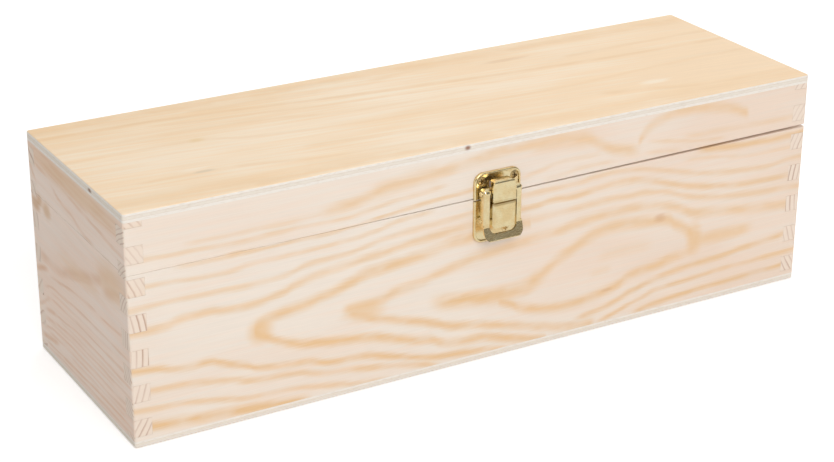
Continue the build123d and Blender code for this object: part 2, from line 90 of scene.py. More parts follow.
class Graph:
    """Adds nodes to a node tree and joins them."""

    def __init__(self, tree: bpy.types.NodeTree) -> None:
        """Starts on a tree.

        Args:
            tree: The node tree of a material, a world or a node group.
        """
        self.tree = tree

    def node(self, kind: str, **settings: object) -> bpy.types.Node:
        """Adds a node.

        Args:
            kind: The node's type name, without the ShaderNode in front.
            settings: Properties to set on the node.

        Returns:
            The new node.
        """
        made = self.tree.nodes.new(f"ShaderNode{kind}")
        for name, value in settings.items():
            setattr(made, name, value)
        return made

    def feed(self, socket: Socket, value: Feed) -> None:
        """Joins a socket to an input, or sets the input's own value.

        Args:
            socket: The input.
            value: An output socket, a number, or the channels of a colour or vector.
        """
        if isinstance(value, bpy.types.NodeSocket):
            self.tree.links.new(value, socket)
        else:
            socket.default_value = value

    def math(self, operation: str, *values: Feed, clamp: bool = False) -> Socket:
        """Adds a Math node.

        Args:
            operation: The node's operation.
            values: Its inputs in order.
            clamp: Whether the result is kept from 0 to 1.

        Returns:
            The result.
        """
        made = self.node("Math", operation=operation, use_clamp=clamp)
        for socket, value in zip(made.inputs, values):
            self.feed(socket, value)
        return made.outputs[0]

    def vector_math(self, operation: str, *values: Feed) -> Socket:
        """Adds a Vector Math node with a vector result.

        Args:
            operation: The node's operation.
            values: Its vector inputs in order.

        Returns:
            The resulting vector.
        """
        made = self.node("VectorMath", operation=operation)
        for socket, value in zip(made.inputs, values):
            self.feed(socket, value)
        return made.outputs["Vector"]

    def combine(self, x: Feed, y: Feed, z: Feed) -> Socket:
        """Joins three values to a vector.

        Args:
            x: The first value.
            y: The second value.
            z: The third value.

        Returns:
            The vector.
        """
        made = self.node("CombineXYZ")
        for socket, value in zip(made.inputs, (x, y, z)):
            self.feed(socket, value)
        return made.outputs[0]

    def separate(self, vector: Feed) -> tuple[Socket, Socket, Socket]:
        """Splits a vector into three values.

        Args:
            vector: The vector.

        Returns:
            Its values in order.
        """
        made = self.node("SeparateXYZ")
        self.feed(made.inputs[0], vector)
        return tuple(made.outputs)

    def ramp(
        self, value: Feed, low: Feed, high: Feed, start: Feed = 0.0, end: Feed = 1.0,
        kind: Interpolation = Interpolation.SMOOTH,
    ) -> Socket:
        """Maps a value from one span to another, held at the ends.

        Args:
            value: What is mapped.
            low: Where the first span starts.
            high: Where it ends.
            start: The result at low.
            end: The result at high.
            kind: How the result runs between them.

        Returns:
            The mapped value.
        """
        made = self.node("MapRange", interpolation_type=kind.value, clamp=True)
        for socket, given in zip(made.inputs, (value, low, high, start, end)):
            self.feed(socket, given)
        return made.outputs[0]

    def noise(
        self, vector: Feed, scale: Feed, detail: float = 2.0, roughness: float = 0.5,
    ) -> Socket:
        """Adds a noise pattern.

        Args:
            vector: Where it is read.
            scale: Its scale, per unit of the vector.
            detail: How many finer layers it has.
            roughness: How strong those are.

        Returns:
            The pattern, from 0 to 1.
        """
        made = self.node("TexNoise", noise_dimensions="3D")
        self.feed(made.inputs["Vector"], vector)
        self.feed(made.inputs["Scale"], scale)
        made.inputs["Detail"].default_value = detail
        made.inputs["Roughness"].default_value = roughness
        return made.outputs["Fac"]

    def stretched(
        self, vector: Feed, scales: Sequence[float], detail: float = 2.0, roughness: float = 0.5,
    ) -> Socket:
        """Adds a noise pattern with a scale of its own for each axis.

        Args:
            vector: Where it is read.
            scales: Its scales, per unit of the vector.
            detail: How many finer layers it has.
            roughness: How strong those are.

        Returns:
            The pattern, from 0 to 1.
        """
        return self.noise(self.vector_math("MULTIPLY", vector, scales), 1.0, detail, roughness)

    def millimetres(self, coordinates: bpy.types.Node) -> Socket:
        """Reads a point's place in the box.

        Args:
            coordinates: A Texture Coordinate node.

        Returns:
            The place in millimetres.
        """
        place = self.vector_math("SCALE", coordinates.outputs["Object"])
        place.node.inputs["Scale"].default_value = MM_PER_METRE
        return place

    def bump(self, height: Feed, strength: float, metres: float) -> Socket:
        """Turns a pattern of heights into a direction for the light to meet.

        Args:
            height: The pattern.
            strength: How much of it is felt.
            metres: How high a step of 1 is.

        Returns:
            The surface's direction.
        """
        made = self.node("Bump")
        made.inputs["Strength"].default_value = strength
        made.inputs["Distance"].default_value = metres
        self.feed(made.inputs["Height"], height)
        return made.outputs["Normal"]

    def straight(self, path: bpy.types.Node) -> Socket:
        """Tells the rays that the eye follows.

        Args:
            path: A Light Path node.

        Returns:
            1 on rays from the camera, straight or through a surface, and 0 on all others.
        """
        return self.math("MAXIMUM", path.outputs["Is Camera Ray"], path.outputs["Is Transmission Ray"])

    def blend(self, share: Feed, first: Feed, second: Feed, kind: str = "MIX") -> Socket:
        """Mixes two colours.

        Args:
            share: How much of the second there is.
            first: The first colour.
            second: The second colour.
            kind: The blend type.

        Returns:
            The mixed colour.
        """
        made = self.node("Mix", data_type="RGBA", blend_type=kind)
        self.feed(made.inputs[MIX_SHARE], share)
        self.feed(made.inputs[MIX_FIRST], first)
        self.feed(made.inputs[MIX_SECOND], second)
        return made.outputs[MIXED]

    def curve(self, value: Feed, points: Sequence[Point]) -> Socket:
        """Reads a smooth curve through a few points.

        Args:
            value: Where it is read.
            points: The curve's points, in rising order, as place and height.

        Returns:
            The curve's height there.
        """
        start, end = points[0][0], points[-1][0]
        heights = [height for _, height in points]
        low, high = min(heights), max(heights)
        if high - low < FLAT:
            return self.math("ADD", low, 0.0)
        made = self.node("FloatCurve")
        line = made.mapping.curves[0]
        spots = [((x - start) / (end - start), (y - low) / (high - low)) for x, y in points]
        line.points[0].location = spots[0]
        line.points[1].location = spots[-1]
        for spot in spots[1:-1]:
            line.points.new(*spot)
        made.mapping.update()
        place = self.ramp(value, start, end, kind=Interpolation.LINEAR)
        self.feed(made.inputs["Value"], place)
        return self.math("MULTIPLY_ADD", made.outputs[0], high - low, low)


class EffectGroup:
    """A shader effect that is built once as a node group and placed in many materials.

    Scales of noise are per millimetre: one number, or one for each direction of the place.
    """

    name = "effect"
    takes: dict[str, tuple[str, Feed]] = {}
    gives: dict[str, str] = {}

    def __init__(self) -> None:
        """Builds the group with its sockets."""
        self.tree = bpy.data.node_groups.new(self.name, "ShaderNodeTree")
        face = self.tree.interface
        for label, (kind, value) in self.takes.items():
            socket = face.new_socket(label, in_out="INPUT", socket_type=f"NodeSocket{kind}")
            if kind == "Float":
                socket.default_value = value
        for label, kind in self.gives.items():
            face.new_socket(label, in_out="OUTPUT", socket_type=f"NodeSocket{kind}")
        self.graph = Graph(self.tree)
        self.given = self.tree.nodes.new("NodeGroupInput").outputs
        self.result = self.tree.nodes.new("NodeGroupOutput").inputs
        self.build()

    def build(self) -> None:
        """Fills the group with its nodes."""
        raise NotImplementedError

    def place(self, graph: Graph, **values: Feed) -> bpy.types.NodeOutputs:
        """Places the group in a material.

        Args:
            graph: The material's graph.
            values: Its inputs by name, with an underscore for each space.

        Returns:
            The placed node's outputs.
        """
        made = graph.node("Group")
        made.node_tree = self.tree
        for name, value in values.items():
            graph.feed(made.inputs[name.replace("_", " ")], value)
        return made.outputs


class GrowthRings(EffectGroup):
    """The yearly rings of a board that was sawn from round a pith."""

    name = "growth_rings"
    takes = {
        "Board": ("Vector", None),
        "Pith Height": ("Float", 0.0),
        "Pith Depth": ("Float", 60.0),
        "Ring Width": ("Float", 2.7),
        "Ring Shift": ("Float", 0.0),
        "Waviness": ("Float", 1.0),
    }
    gives = {"Latewood": "Float"}
    slow_scales = (0.011, 0.035, 0.035)
    quick_scales = (0.11, 0.22, 0.22)
    patch_scales = (0.018, 0.05, 0.05)
    slow_wander = 3.0
    quick_wander = 4.0
    faintest_ring = 0.62
    fade_outward = 0.42
    fade_inward = 0.16

    def build(self) -> None:
        """Measures the distance to the pith and turns it into rings."""
        g, given = self.graph, self.given
        board = given["Board"]
        _, height, depth = g.separate(board)
        slow = g.math("SUBTRACT", g.stretched(board, self.slow_scales, 1.0), 0.5)
        quick = g.math("SUBTRACT", g.stretched(board, self.quick_scales), 0.5)
        wander = g.math("MULTIPLY", slow, self.slow_wander)
        wander = g.math("ADD", wander, g.math("MULTIPLY", quick, self.quick_wander))
        wander = g.math("MULTIPLY", wander, given["Waviness"])
        rise = g.math("ADD", g.math("SUBTRACT", height, given["Pith Height"]), wander)
        reach = g.math("ADD", depth, given["Pith Depth"])
        square = g.math("MULTIPLY_ADD", rise, rise, g.math("MULTIPLY", reach, reach))
        radius = g.math("SUBTRACT", g.math("SQRT", square), given["Pith Depth"])
        rings = g.math("ADD", g.math("DIVIDE", radius, given["Ring Width"]), given["Ring Shift"])
        share = g.math("FRACT", rings)
        fading = g.math("SUBTRACT", 1.0, g.ramp(share, 0.0, self.fade_outward))
        rising = g.ramp(share, 1.0 - self.fade_inward, 1.0)
        band = g.math("MAXIMUM", fading, rising)
        year = g.math("FLOOR", g.math("ADD", rings, 0.5))
        chance = g.node("TexWhiteNoise", noise_dimensions="1D")
        g.feed(chance.inputs["W"], year)
        faintest = self.faintest_ring
        strength = g.ramp(chance.outputs["Value"], 0.0, 1.0, faintest, 1.0, Interpolation.LINEAR)
        patch = g.ramp(g.stretched(board, self.patch_scales), 0.3, 0.65, 0.55, 1.1)
        band = g.math("MULTIPLY", g.math("MULTIPLY", band, strength), patch)
        g.feed(self.result["Latewood"], g.math("MINIMUM", band, 1.0))


def oval_square(g: Graph, given: bpy.types.NodeInputs) -> Socket:
    """Measures how far a point lies from the middle of an oval on a board's face.

    Args:
        g: The group's graph.
        given: The group's inputs: Board, Along, Height, Half Length and Half Height.

    Returns:
        The square of the distance, which is 1 on the oval's edge.
    """
    along, height, _ = g.separate(given["Board"])
    total = 0.0
    for value, centre, half in ((along, "Along", "Half Length"), (height, "Height", "Half Height")):
        share = g.math("DIVIDE", g.math("SUBTRACT", value, given[centre]), given[half])
        total = g.math("MULTIPLY_ADD", share, share, total)
    return total


class GrainSwell(EffectGroup):
    """A rounded swelling or hollow of the rings, which makes an eye or a bow in the figure."""

    name = "grain_swell"
    takes = {
        "Board": ("Vector", None),
        "Along": ("Float", 0.0),
        "Height": ("Float", 0.0),
        "Half Length": ("Float", 20.0),
        "Half Height": ("Float", 10.0),
        "Amount": ("Float", 0.0),
    }
    gives = {"Shift": "Float"}

    def build(self) -> None:
        """Builds a bell that falls off in both directions."""
        g, given = self.graph, self.given
        bell = g.math("EXPONENT", g.math("MULTIPLY", oval_square(g, given), -1.0))
        g.feed(self.result["Shift"], g.math("MULTIPLY", bell, given["Amount"]))


class GrainTexture(EffectGroup):
    """How uneven the drawn lines are: their wander, their feathered edges and their blotches."""

    name = "grain_texture"
    takes = {"Board": ("Vector", None)}
    gives = {"Unevenness": "Float", "Blotch": "Float"}
    wave_scales = (0.05, 0.16, 0.16)
    feather_scales = (0.06, 1.5, 1.5)
    blotch_scales = (0.05, 0.12, 0.12)
    wave_reach = 1.4
    feather_reach = 2.2

    def build(self) -> None:
        """Layers a slow wave and fine fibres, and a patchy strength."""
        g, board = self.graph, self.given["Board"]
        wave = g.math("SUBTRACT", g.stretched(board, self.wave_scales, 1.0), 0.5)
        feather = g.math("SUBTRACT", g.stretched(board, self.feather_scales), 0.5)
        wave = g.math("MULTIPLY", wave, self.wave_reach)
        feather = g.math("MULTIPLY", feather, self.feather_reach)
        g.feed(self.result["Unevenness"], g.math("ADD", wave, feather))
        blotch = g.stretched(board, self.blotch_scales)
        g.feed(self.result["Blotch"], g.ramp(blotch, 0.3, 0.6, 0.5, 1.05))


class GrainStroke(EffectGroup):
    """One drawn line of the figure: late wood that follows a path along the board."""

    name = "grain_stroke"
    takes = {
        "Along": ("Float", 0.0),
        "Height": ("Float", 0.0),
        "Line": ("Float", 0.0),
        "Start": ("Float", 0.0),
        "End": ("Float", 1.0),
        "Fade": ("Float", 9.0),
        "Half Width": ("Float", 0.7),
        "Strength": ("Float", 1.0),
    }
    gives = {"Latewood": "Float"}

    def build(self) -> None:
        """Measures the distance to the path and fades both ends."""
        g, given = self.graph, self.given
        off = g.math("ABSOLUTE", g.math("SUBTRACT", given["Height"], given["Line"]))
        mask = g.ramp(g.math("DIVIDE", off, given["Half Width"]), 0.0, 2.0, 1.0, 0.0)
        start = g.math("SUBTRACT", given["Along"], given["Start"])
        end = g.math("SUBTRACT", given["End"], given["Along"])
        mask = g.math("MULTIPLY", mask, g.ramp(g.math("MINIMUM", start, end), 0.0, given["Fade"]))
        g.feed(self.result["Latewood"], g.math("MULTIPLY", mask, given["Strength"]))


class WoodFibres(EffectGroup):
    """Fine streaks along the grain, slow changes of tone, and the planed surface's height."""

    name = "wood_fibres"
    takes = {"Board": ("Vector", None)}
    gives = {"Streaks": "Float", "Bands": "Float", "Tone": "Float", "Relief": "Float"}
    hair_scales = (0.035, 2.4, 2.4)
    band_scales = (0.016, 0.45, 0.45)
    tone_scales = (0.010, 0.028, 0.028)
    hair_share = 0.6

    def build(self) -> None:
        """Stretches noise along the grain at three scales."""
        g, board = self.graph, self.given["Board"]
        hair = g.stretched(board, self.hair_scales, 3.0, 0.6)
        band = g.stretched(board, self.band_scales)
        streaks = g.math("MULTIPLY", band, 1.0 - self.hair_share)
        streaks = g.math("MULTIPLY_ADD", hair, self.hair_share, streaks)
        g.feed(self.result["Streaks"], streaks)
        g.feed(self.result["Bands"], g.math("SUBTRACT", band, 0.5))
        g.feed(self.result["Tone"], g.stretched(board, self.tone_scales))
        g.feed(self.result["Relief"], hair)


class EndGrain(EffectGroup):
    """Where a board shows its sawn ends: 1 on faces square to the grain, 0 along it."""

    name = "end_grain"
    takes = {"Normal": ("Vector", None), "Grain": ("Vector", None)}
    gives = {"Mask": "Float"}

    def build(self) -> None:
        """Compares the face's direction with the grain's."""
        g, given = self.graph, self.given
        dot = g.node("VectorMath", operation="DOT_PRODUCT")
        g.feed(dot.inputs[0], given["Normal"])
        g.feed(dot.inputs[1], given["Grain"])
        g.feed(self.result["Mask"], g.ramp(g.math("ABSOLUTE", dot.outputs["Value"]), 0.6, 0.9))


class Stain(EffectGroup):
    """A soft irregular spot, such as a resin patch or a small knot."""

    name = "stain"
    takes = {
        "Board": ("Vector", None),
        "Along": ("Float", 0.0),
        "Height": ("Float", 0.0),
        "Half Length": ("Float", 5.0),
        "Half Height": ("Float", 2.0),
        "Roughness": ("Float", 0.5),
    }
    gives = {"Mask": "Float"}
    ragged_scales = (0.09, 0.5, 0.5)
    full_within = 0.25
    gone_beyond = 1.3

    def build(self) -> None:
        """Measures how far inside a ragged oval a point is."""
        g, given = self.graph, self.given
        ragged = g.math("SUBTRACT", g.stretched(given["Board"], self.ragged_scales, 3.0), 0.5)
        ragged = g.math("MULTIPLY", ragged, given["Roughness"])
        distance = g.math("SQRT", oval_square(g, given))
        edge = g.math("ADD", distance, g.math("MULTIPLY", ragged, 2.0))
        g.feed(self.result["Mask"], g.ramp(edge, self.full_within, self.gone_beyond, 1.0, 0.0))


class PlyLayers(EffectGroup):
    """The plies of thin plywood where its edge is sawn."""

    name = "ply_layers"
    takes = {
        "Height": ("Float", 0.0),
        "Low": ("Float", 0.0),
        "High": ("Float", 1.0),
        "Plies": ("Float", 3.0),
    }
    gives = {"Glue": "Float", "Core": "Float"}
    line_core = 0.02
    line_edge = 0.09

    def build(self) -> None:
        """Counts the plies up from the underside and marks the lines between them."""
        g, given = self.graph, self.given
        plies = given["Plies"]
        thickness = g.math("SUBTRACT", given["High"], given["Low"])
        share = g.math("DIVIDE", g.math("SUBTRACT", given["Height"], given["Low"]), thickness)
        ply = g.math("MULTIPLY", share, plies)
        below_top = g.math("SUBTRACT", plies, ply)
        share = g.math("FRACT", g.math("ADD", ply, 0.5))
        line = g.math("ABSOLUTE", g.math("SUBTRACT", share, 0.5))
        line = g.ramp(line, self.line_core, self.line_edge, 1.0, 0.0)
        inside = g.math("MULTIPLY", g.ramp(ply, 0.5, 0.55), g.ramp(below_top, 0.5, 0.55))
        core = g.math("MULTIPLY", g.ramp(ply, 0.98, 1.02), g.ramp(below_top, 0.98, 1.02))
        g.feed(self.result["Glue"], g.math("MULTIPLY", line, inside))
        g.feed(self.result["Core"], core)


class PlatedSurface(EffectGroup):
    """The slight orange peel, cloudiness and hairlines of bright plated sheet."""

    name = "plated_surface"
    takes = {"Place": ("Vector", None), "Wear": ("Float", 0.5)}
    gives = {"Cloud": "Float", "Relief": "Float", "Dulling": "Float"}
    cloud_scale = 0.22
    peel_scale = 1.1
    wiping_scales = (0.6, 7.0, 7.0)

    def build(self) -> None:
        """Layers a slow cloud, a peel and fine wiping marks."""
        g, place = self.graph, self.given["Place"]
        cloud = g.noise(place, self.cloud_scale)
        peel = g.noise(place, self.peel_scale, 2.0, 0.55)
        wiped = g.stretched(place, self.wiping_scales)
        relief = g.math("MULTIPLY_ADD", peel, 0.8, g.math("MULTIPLY", cloud, 0.5))
        g.feed(self.result["Cloud"], cloud)
        g.feed(self.result["Relief"], relief)
        g.feed(self.result["Dulling"], g.math("MULTIPLY", g.ramp(wiped, 0.5, 0.8), self.given["Wear"]))


@dataclass
class Effects:
    """The shared node groups."""

    rings: GrowthRings = field(default_factory=GrowthRings)
    swell: GrainSwell = field(default_factory=GrainSwell)
    fibres: WoodFibres = field(default_factory=WoodFibres)
    end_grain: EndGrain = field(default_factory=EndGrain)
    stain: Stain = field(default_factory=Stain)
    stroke: GrainStroke = field(default_factory=GrainStroke)
    texture: GrainTexture = field(default_factory=GrainTexture)
    plies: PlyLayers = field(default_factory=PlyLayers)
    plated: PlatedSurface = field(default_factory=PlatedSurface)


@dataclass(frozen=True)
class Swell:
    """One swelling of the rings, placed on the board's face."""

    along: float
    height: float
    half_length: float
    half_height: float
    amount: float


@dataclass(frozen=True)
class Spot:
    """One stained place, on the board's face."""

    along: float
    height: float
    half_length: float
    half_height: float
    colour: Colour
    strength: float
    roughness: float = 0.5


@dataclass(frozen=True)
class Stroke:
    """One drawn line of the figure, as points along and up the board's face."""

    path: tuple[Point, ...]
    half_width: float = 0.8
    strength: float = 0.6
    fade: float = 9.0


def strokes(rows: Sequence[tuple[float, float, tuple[Point, ...]]]) -> tuple[Stroke, ...]:
    """Makes strokes that fade at their ends as usual.

    Args:
        rows: The strength, half width and path of each.

    Returns:
        The strokes.
    """
    return tuple(Stroke(path, half_width, strength) for strength, half_width, path in rows)


@dataclass(frozen=True)
class Board:
    """How one board was sawn: which way its grain runs, where its pith lay, and its figure.

    Its outer face is at face_at on the depth axis, and inward says which way the wood lies.
    Along the board, pith_height is where the pith ran, ring_shift how many rings the surface
    lies further out than at the zero of the rings, and warmth how much of its early wood is
    warm. The fibres fall by drift for each millimetre along. Strokes are drawn on the long
    faces, and rings_on_face is how much of the rings shows there beside them.
    """

    grain: Axis
    depth_axis: Axis
    height_axis: Axis
    face_at: float
    inward: float
    pith_depth: tuple[Point, ...]
    pith_height: tuple[Point, ...]
    ring_shift: tuple[Point, ...]
    ring_width: float = 2.7
    waviness: float = 0.5
    drift: float = 0.0
    rings_on_face: float = 1.0
    warmth: tuple[Point, ...] = ((0.0, 0.5), (1.0, 0.5))
    strokes: tuple[Stroke, ...] = ()
    swells: tuple[Swell, ...] = ()
    spots: tuple[Spot, ...] = ()
    edge_spots: tuple[Spot, ...] = ()


class BoardPaint:
    """One wooden material in the making, with where a point lies in its board.

    The place is in the box in millimetres, board_place is along, height and depth in the
    board, and normal is the face's direction. shader holds the inputs of its Principled BSDF.
    """

    def __init__(self, name: str, board: Board, effects: Effects) -> None:
        """Starts the material.

        Args:
            name: The material's name.
            board: How the board was sawn.
            effects: The shared node groups.
        """
        self.material = bpy.data.materials.new(name)
        self.material.use_nodes = True
        self.shader = self.material.node_tree.nodes["Principled BSDF"].inputs
        self.graph = g = Graph(self.material.node_tree)
        self.board = board
        self.effects = effects
        coordinates = g.node("TexCoord")
        self.normal = coordinates.outputs["Normal"]
        self.place = g.millimetres(coordinates)
        parts = g.separate(self.place)
        depth = g.math("SUBTRACT", parts[board.depth_axis.value], board.face_at)
        depth = g.math("MULTIPLY", depth, board.inward)
        self.board_place = g.combine(parts[board.grain.value], parts[board.height_axis.value], depth)
        self.along, self.height, self.depth = g.separate(self.board_place)

    def rings(self) -> Socket:
        """Cuts the board's surface from its rings.

        Returns:
            The rings' late wood.
        """
        g, board = self.graph, self.board
        shift = g.curve(self.along, board.ring_shift)
        for swell in board.swells:
            out = self.effects.swell.place(
                g, Board=self.board_place, Along=swell.along, Height=swell.height,
                Half_Length=swell.half_length, Half_Height=swell.half_height,
                Amount=swell.amount,
            )
            shift = g.math("ADD", shift, out["Shift"])
        return self.effects.rings.place(
            g, Board=self.board_place, Pith_Height=g.curve(self.along, board.pith_height),
            Pith_Depth=g.curve(self.along, board.pith_depth), Ring_Width=board.ring_width,
            Ring_Shift=shift, Waviness=board.waviness,
        )["Latewood"]

    def fibres(self) -> bpy.types.NodeOutputs:
        """Lays the fibres, which fall along the board by its drift.

        Returns:
            What they give, by name.
        """
        g = self.graph
        fallen = g.math("MULTIPLY_ADD", self.along, self.board.drift, self.height)
        return self.effects.fibres.place(g, Board=g.combine(self.along, fallen, self.depth))

    def figure(self, late: Socket) -> Socket:
        """Joins the rings and the drawn lines on the board's long faces.

        Args:
            late: The rings' late wood.

        Returns:
            How much late wood there is.
        """
        g = self.graph
        total = g.math("MULTIPLY", late, self.board.rings_on_face)
        if not self.board.strokes:
            return total
        texture = self.effects.texture.place(g, Board=self.board_place)
        height = g.math("ADD", self.height, texture["Unevenness"])
        lines = 0.0
        for stroke in self.board.strokes:
            made = self.effects.stroke.place(
                g, Along=self.along, Height=height, Line=g.curve(self.along, stroke.path),
                Start=stroke.path[0][0], End=stroke.path[-1][0], Fade=stroke.fade,
                Half_Width=stroke.half_width, Strength=stroke.strength,
            )
            lines = g.math("MAXIMUM", lines, made["Latewood"])
        return g.math("MAXIMUM", total, g.math("MULTIPLY", lines, texture["Blotch"]))

    def sawn_ends(self) -> Socket:
        """Finds the board's sawn ends.

        Returns:
            1 on them, and 0 on the long faces.
        """
        grain = [0.0, 0.0, 0.0]
        grain[self.board.grain.value] = 1.0
        made = self.effects.end_grain.place(self.graph, Normal=self.normal, Grain=tuple(grain))
        return made["Mask"]

    def spotted(self, spots: Sequence[Spot], place: Socket, colour: Socket) -> Socket:
        """Lays stained places over a colour.

        Args:
            spots: The stained places.
            place: The place that they are counted in.
            colour: The colour without them.

        Returns:
            The colour with them.
        """
        g = self.graph
        for spot in spots:
            mask = self.effects.stain.place(
                g, Board=place, Along=spot.along, Height=spot.height,
                Half_Length=spot.half_length, Half_Height=spot.half_height,
                Roughness=spot.roughness,
            )["Mask"]
            mask = g.math("MULTIPLY", mask, spot.strength)
            colour = g.blend(mask, colour, spot.colour.linear())
        return colour


@dataclass(frozen=True)
class PineFinish:
    """Bare sanded pine."""

    early: Colour = Colour(238, 226, 213)
    early_warm: Colour = Colour(236, 215, 197)
    late: Colour = Colour(232, 195, 150)
    end: Colour = Colour(236, 219, 203)
    end_late: Colour = Colour(198, 166, 146)
    streaks: float = 0.04
    banding: float = 1.5
    contrast: float = 1.0
    roughness: float = 0.62
    late_gloss: float = 0.06
    specular: float = 0.3
    relief: float = 0.05
    relief_metres: float = 0.0004
    late_relief: float = 0.6
    end_sharpness: float = 1.7

    def paint(self, name: str, board: Board, effects: Effects) -> BoardPaint:
        """Builds the finish for one board.

        Args:
            name: The material's name.
            board: How that board was sawn.
            effects: The shared node groups.

        Returns:
            The painted board's nodes, with its material.
        """
        made = BoardPaint(name, board, effects)
        g = made.graph
        late = g.math("MULTIPLY", made.rings(), self.contrast, clamp=True)
        fibres = made.fibres()
        face = g.blend(made.figure(late), self.early_wood(made, fibres), self.late.linear())
        streak = g.ramp(fibres["Streaks"], 0.3, 0.7, 1.0 - self.streaks, 1.02)
        face = g.blend(1.0, face, g.combine(streak, streak, streak), "MULTIPLY")
        lines = g.math("POWER", late, self.end_sharpness)
        end = g.blend(lines, self.end.linear(), self.end_late.linear())
        colour = g.blend(made.sawn_ends(), face, end)
        colour = made.spotted(board.spots, made.board_place, colour)
        rough = g.math("MULTIPLY_ADD", late, -self.late_gloss, self.roughness)
        relief = g.math("ADD", fibres["Relief"], g.math("MULTIPLY", late, self.late_relief))
        g.feed(made.shader["Base Color"], colour)
        g.feed(made.shader["Roughness"], rough)
        g.feed(made.shader["Specular IOR Level"], self.specular)
        g.feed(made.shader["Normal"], g.bump(relief, self.relief, self.relief_metres))
        return made

    def early_wood(self, made: BoardPaint, fibres: bpy.types.NodeOutputs) -> Socket:
        """Mixes the two tones of the wood between the lines.

        Args:
            made: The board's nodes.
            fibres: What its fibres give.

        Returns:
            The colour of the early wood.
        """
        g = made.graph
        warm = g.ramp(fibres["Tone"], 0.35, 0.65, -0.3, 0.3)
        warm = g.math("MULTIPLY_ADD", fibres["Bands"], self.banding, warm)
        warm = g.math("ADD", warm, g.curve(made.along, made.board.warmth), clamp=True)
        return g.blend(warm, self.early.linear(), self.early_warm.linear())


@dataclass(frozen=True)
class PlywoodFinish(PineFinish):
    """Thin plywood: a quiet face veneer, and plies of crossing grain at the edges.

    On the rim, a place along an end is told from one along the front by end_offset, and one
    along the back by back_offset.
    """

    early: Colour = Colour(249, 230, 204)
    early_warm: Colour = Colour(244, 215, 178)
    late: Colour = Colour(237, 200, 152)
    edge: Colour = Colour(238, 231, 222)
    edge_core: Colour = Colour(232, 223, 210)
    glue: Colour = Colour(198, 172, 148)
    streaks: float = 0.05
    banding: float = 2.3
    contrast: float = 0.5
    plies: int = 3
    speckles: float = 0.22
    speckle_scales: tuple[float, float, float] = (0.5, 0.5, 2.5)
    glue_strength: float = 0.35
    end_offset: float = 200.0
    back_offset: float = 1000.0
    facing_limit: float = 0.7

    def panel(
        self, name: str, board: Board, low: float, high: float, effects: Effects
    ) -> BoardPaint:
        """Builds the finish for one panel.

        Args:
            name: The material's name.
            board: How its face veneer was cut.
            low: The panel's underside.
            high: The panel's upper face.
            effects: The shared node groups.

        Returns:
            The painted panel's nodes, with its material.
        """
        made = self.paint(name, board, effects)
        g = made.graph
        face = made.shader["Base Color"].links[0].from_socket
        rim = g.ramp(g.math("ABSOLUTE", g.separate(made.normal)[2]), 0.35, 0.7, 1.0, 0.0)
        layers = effects.plies.place(
            g, Height=g.separate(made.place)[2], Low=low, High=high, Plies=self.plies,
        )
        edge = g.blend(layers["Core"], self.edge.linear(), self.edge_core.linear())
        speckle = g.stretched(made.place, self.speckle_scales, 3.0)
        speckle = g.ramp(speckle, 0.45, 0.75, 0.0, self.speckles)
        edge = g.blend(speckle, edge, self.glue.linear())
        line = g.math("MULTIPLY", layers["Glue"], self.glue_strength)
        edge = g.blend(line, edge, self.glue.linear())
        if board.edge_spots:
            edge = made.spotted(board.edge_spots, self.rim_place(made), edge)
        g.feed(made.shader["Base Color"], g.blend(rim, face, edge))
        return made

    def rim_place(self, made: BoardPaint) -> Socket:
        """Finds a point's place on the panel's rim.

        Args:
            made: The panel's nodes.

        Returns:
            The place along the rim and the height. It is counted along X on the front and the
            back, and along Y on the ends, where end_offset is added with the sign of the end.
        """
        g = made.graph
        x, y, height = g.separate(made.place)
        facing = g.separate(made.normal)
        on_end = g.math("GREATER_THAN", g.math("ABSOLUTE", facing[0]), self.facing_limit)
        end = g.math("MULTIPLY_ADD", g.math("SIGN", x), self.end_offset, y)
        along = g.math("MULTIPLY_ADD", g.math("SUBTRACT", end, x), on_end, x)
        at_back = g.math("GREATER_THAN", facing[1], self.facing_limit)
        along = g.math("MULTIPLY_ADD", at_back, self.back_offset, along)
        return g.combine(along, height, 0.0)


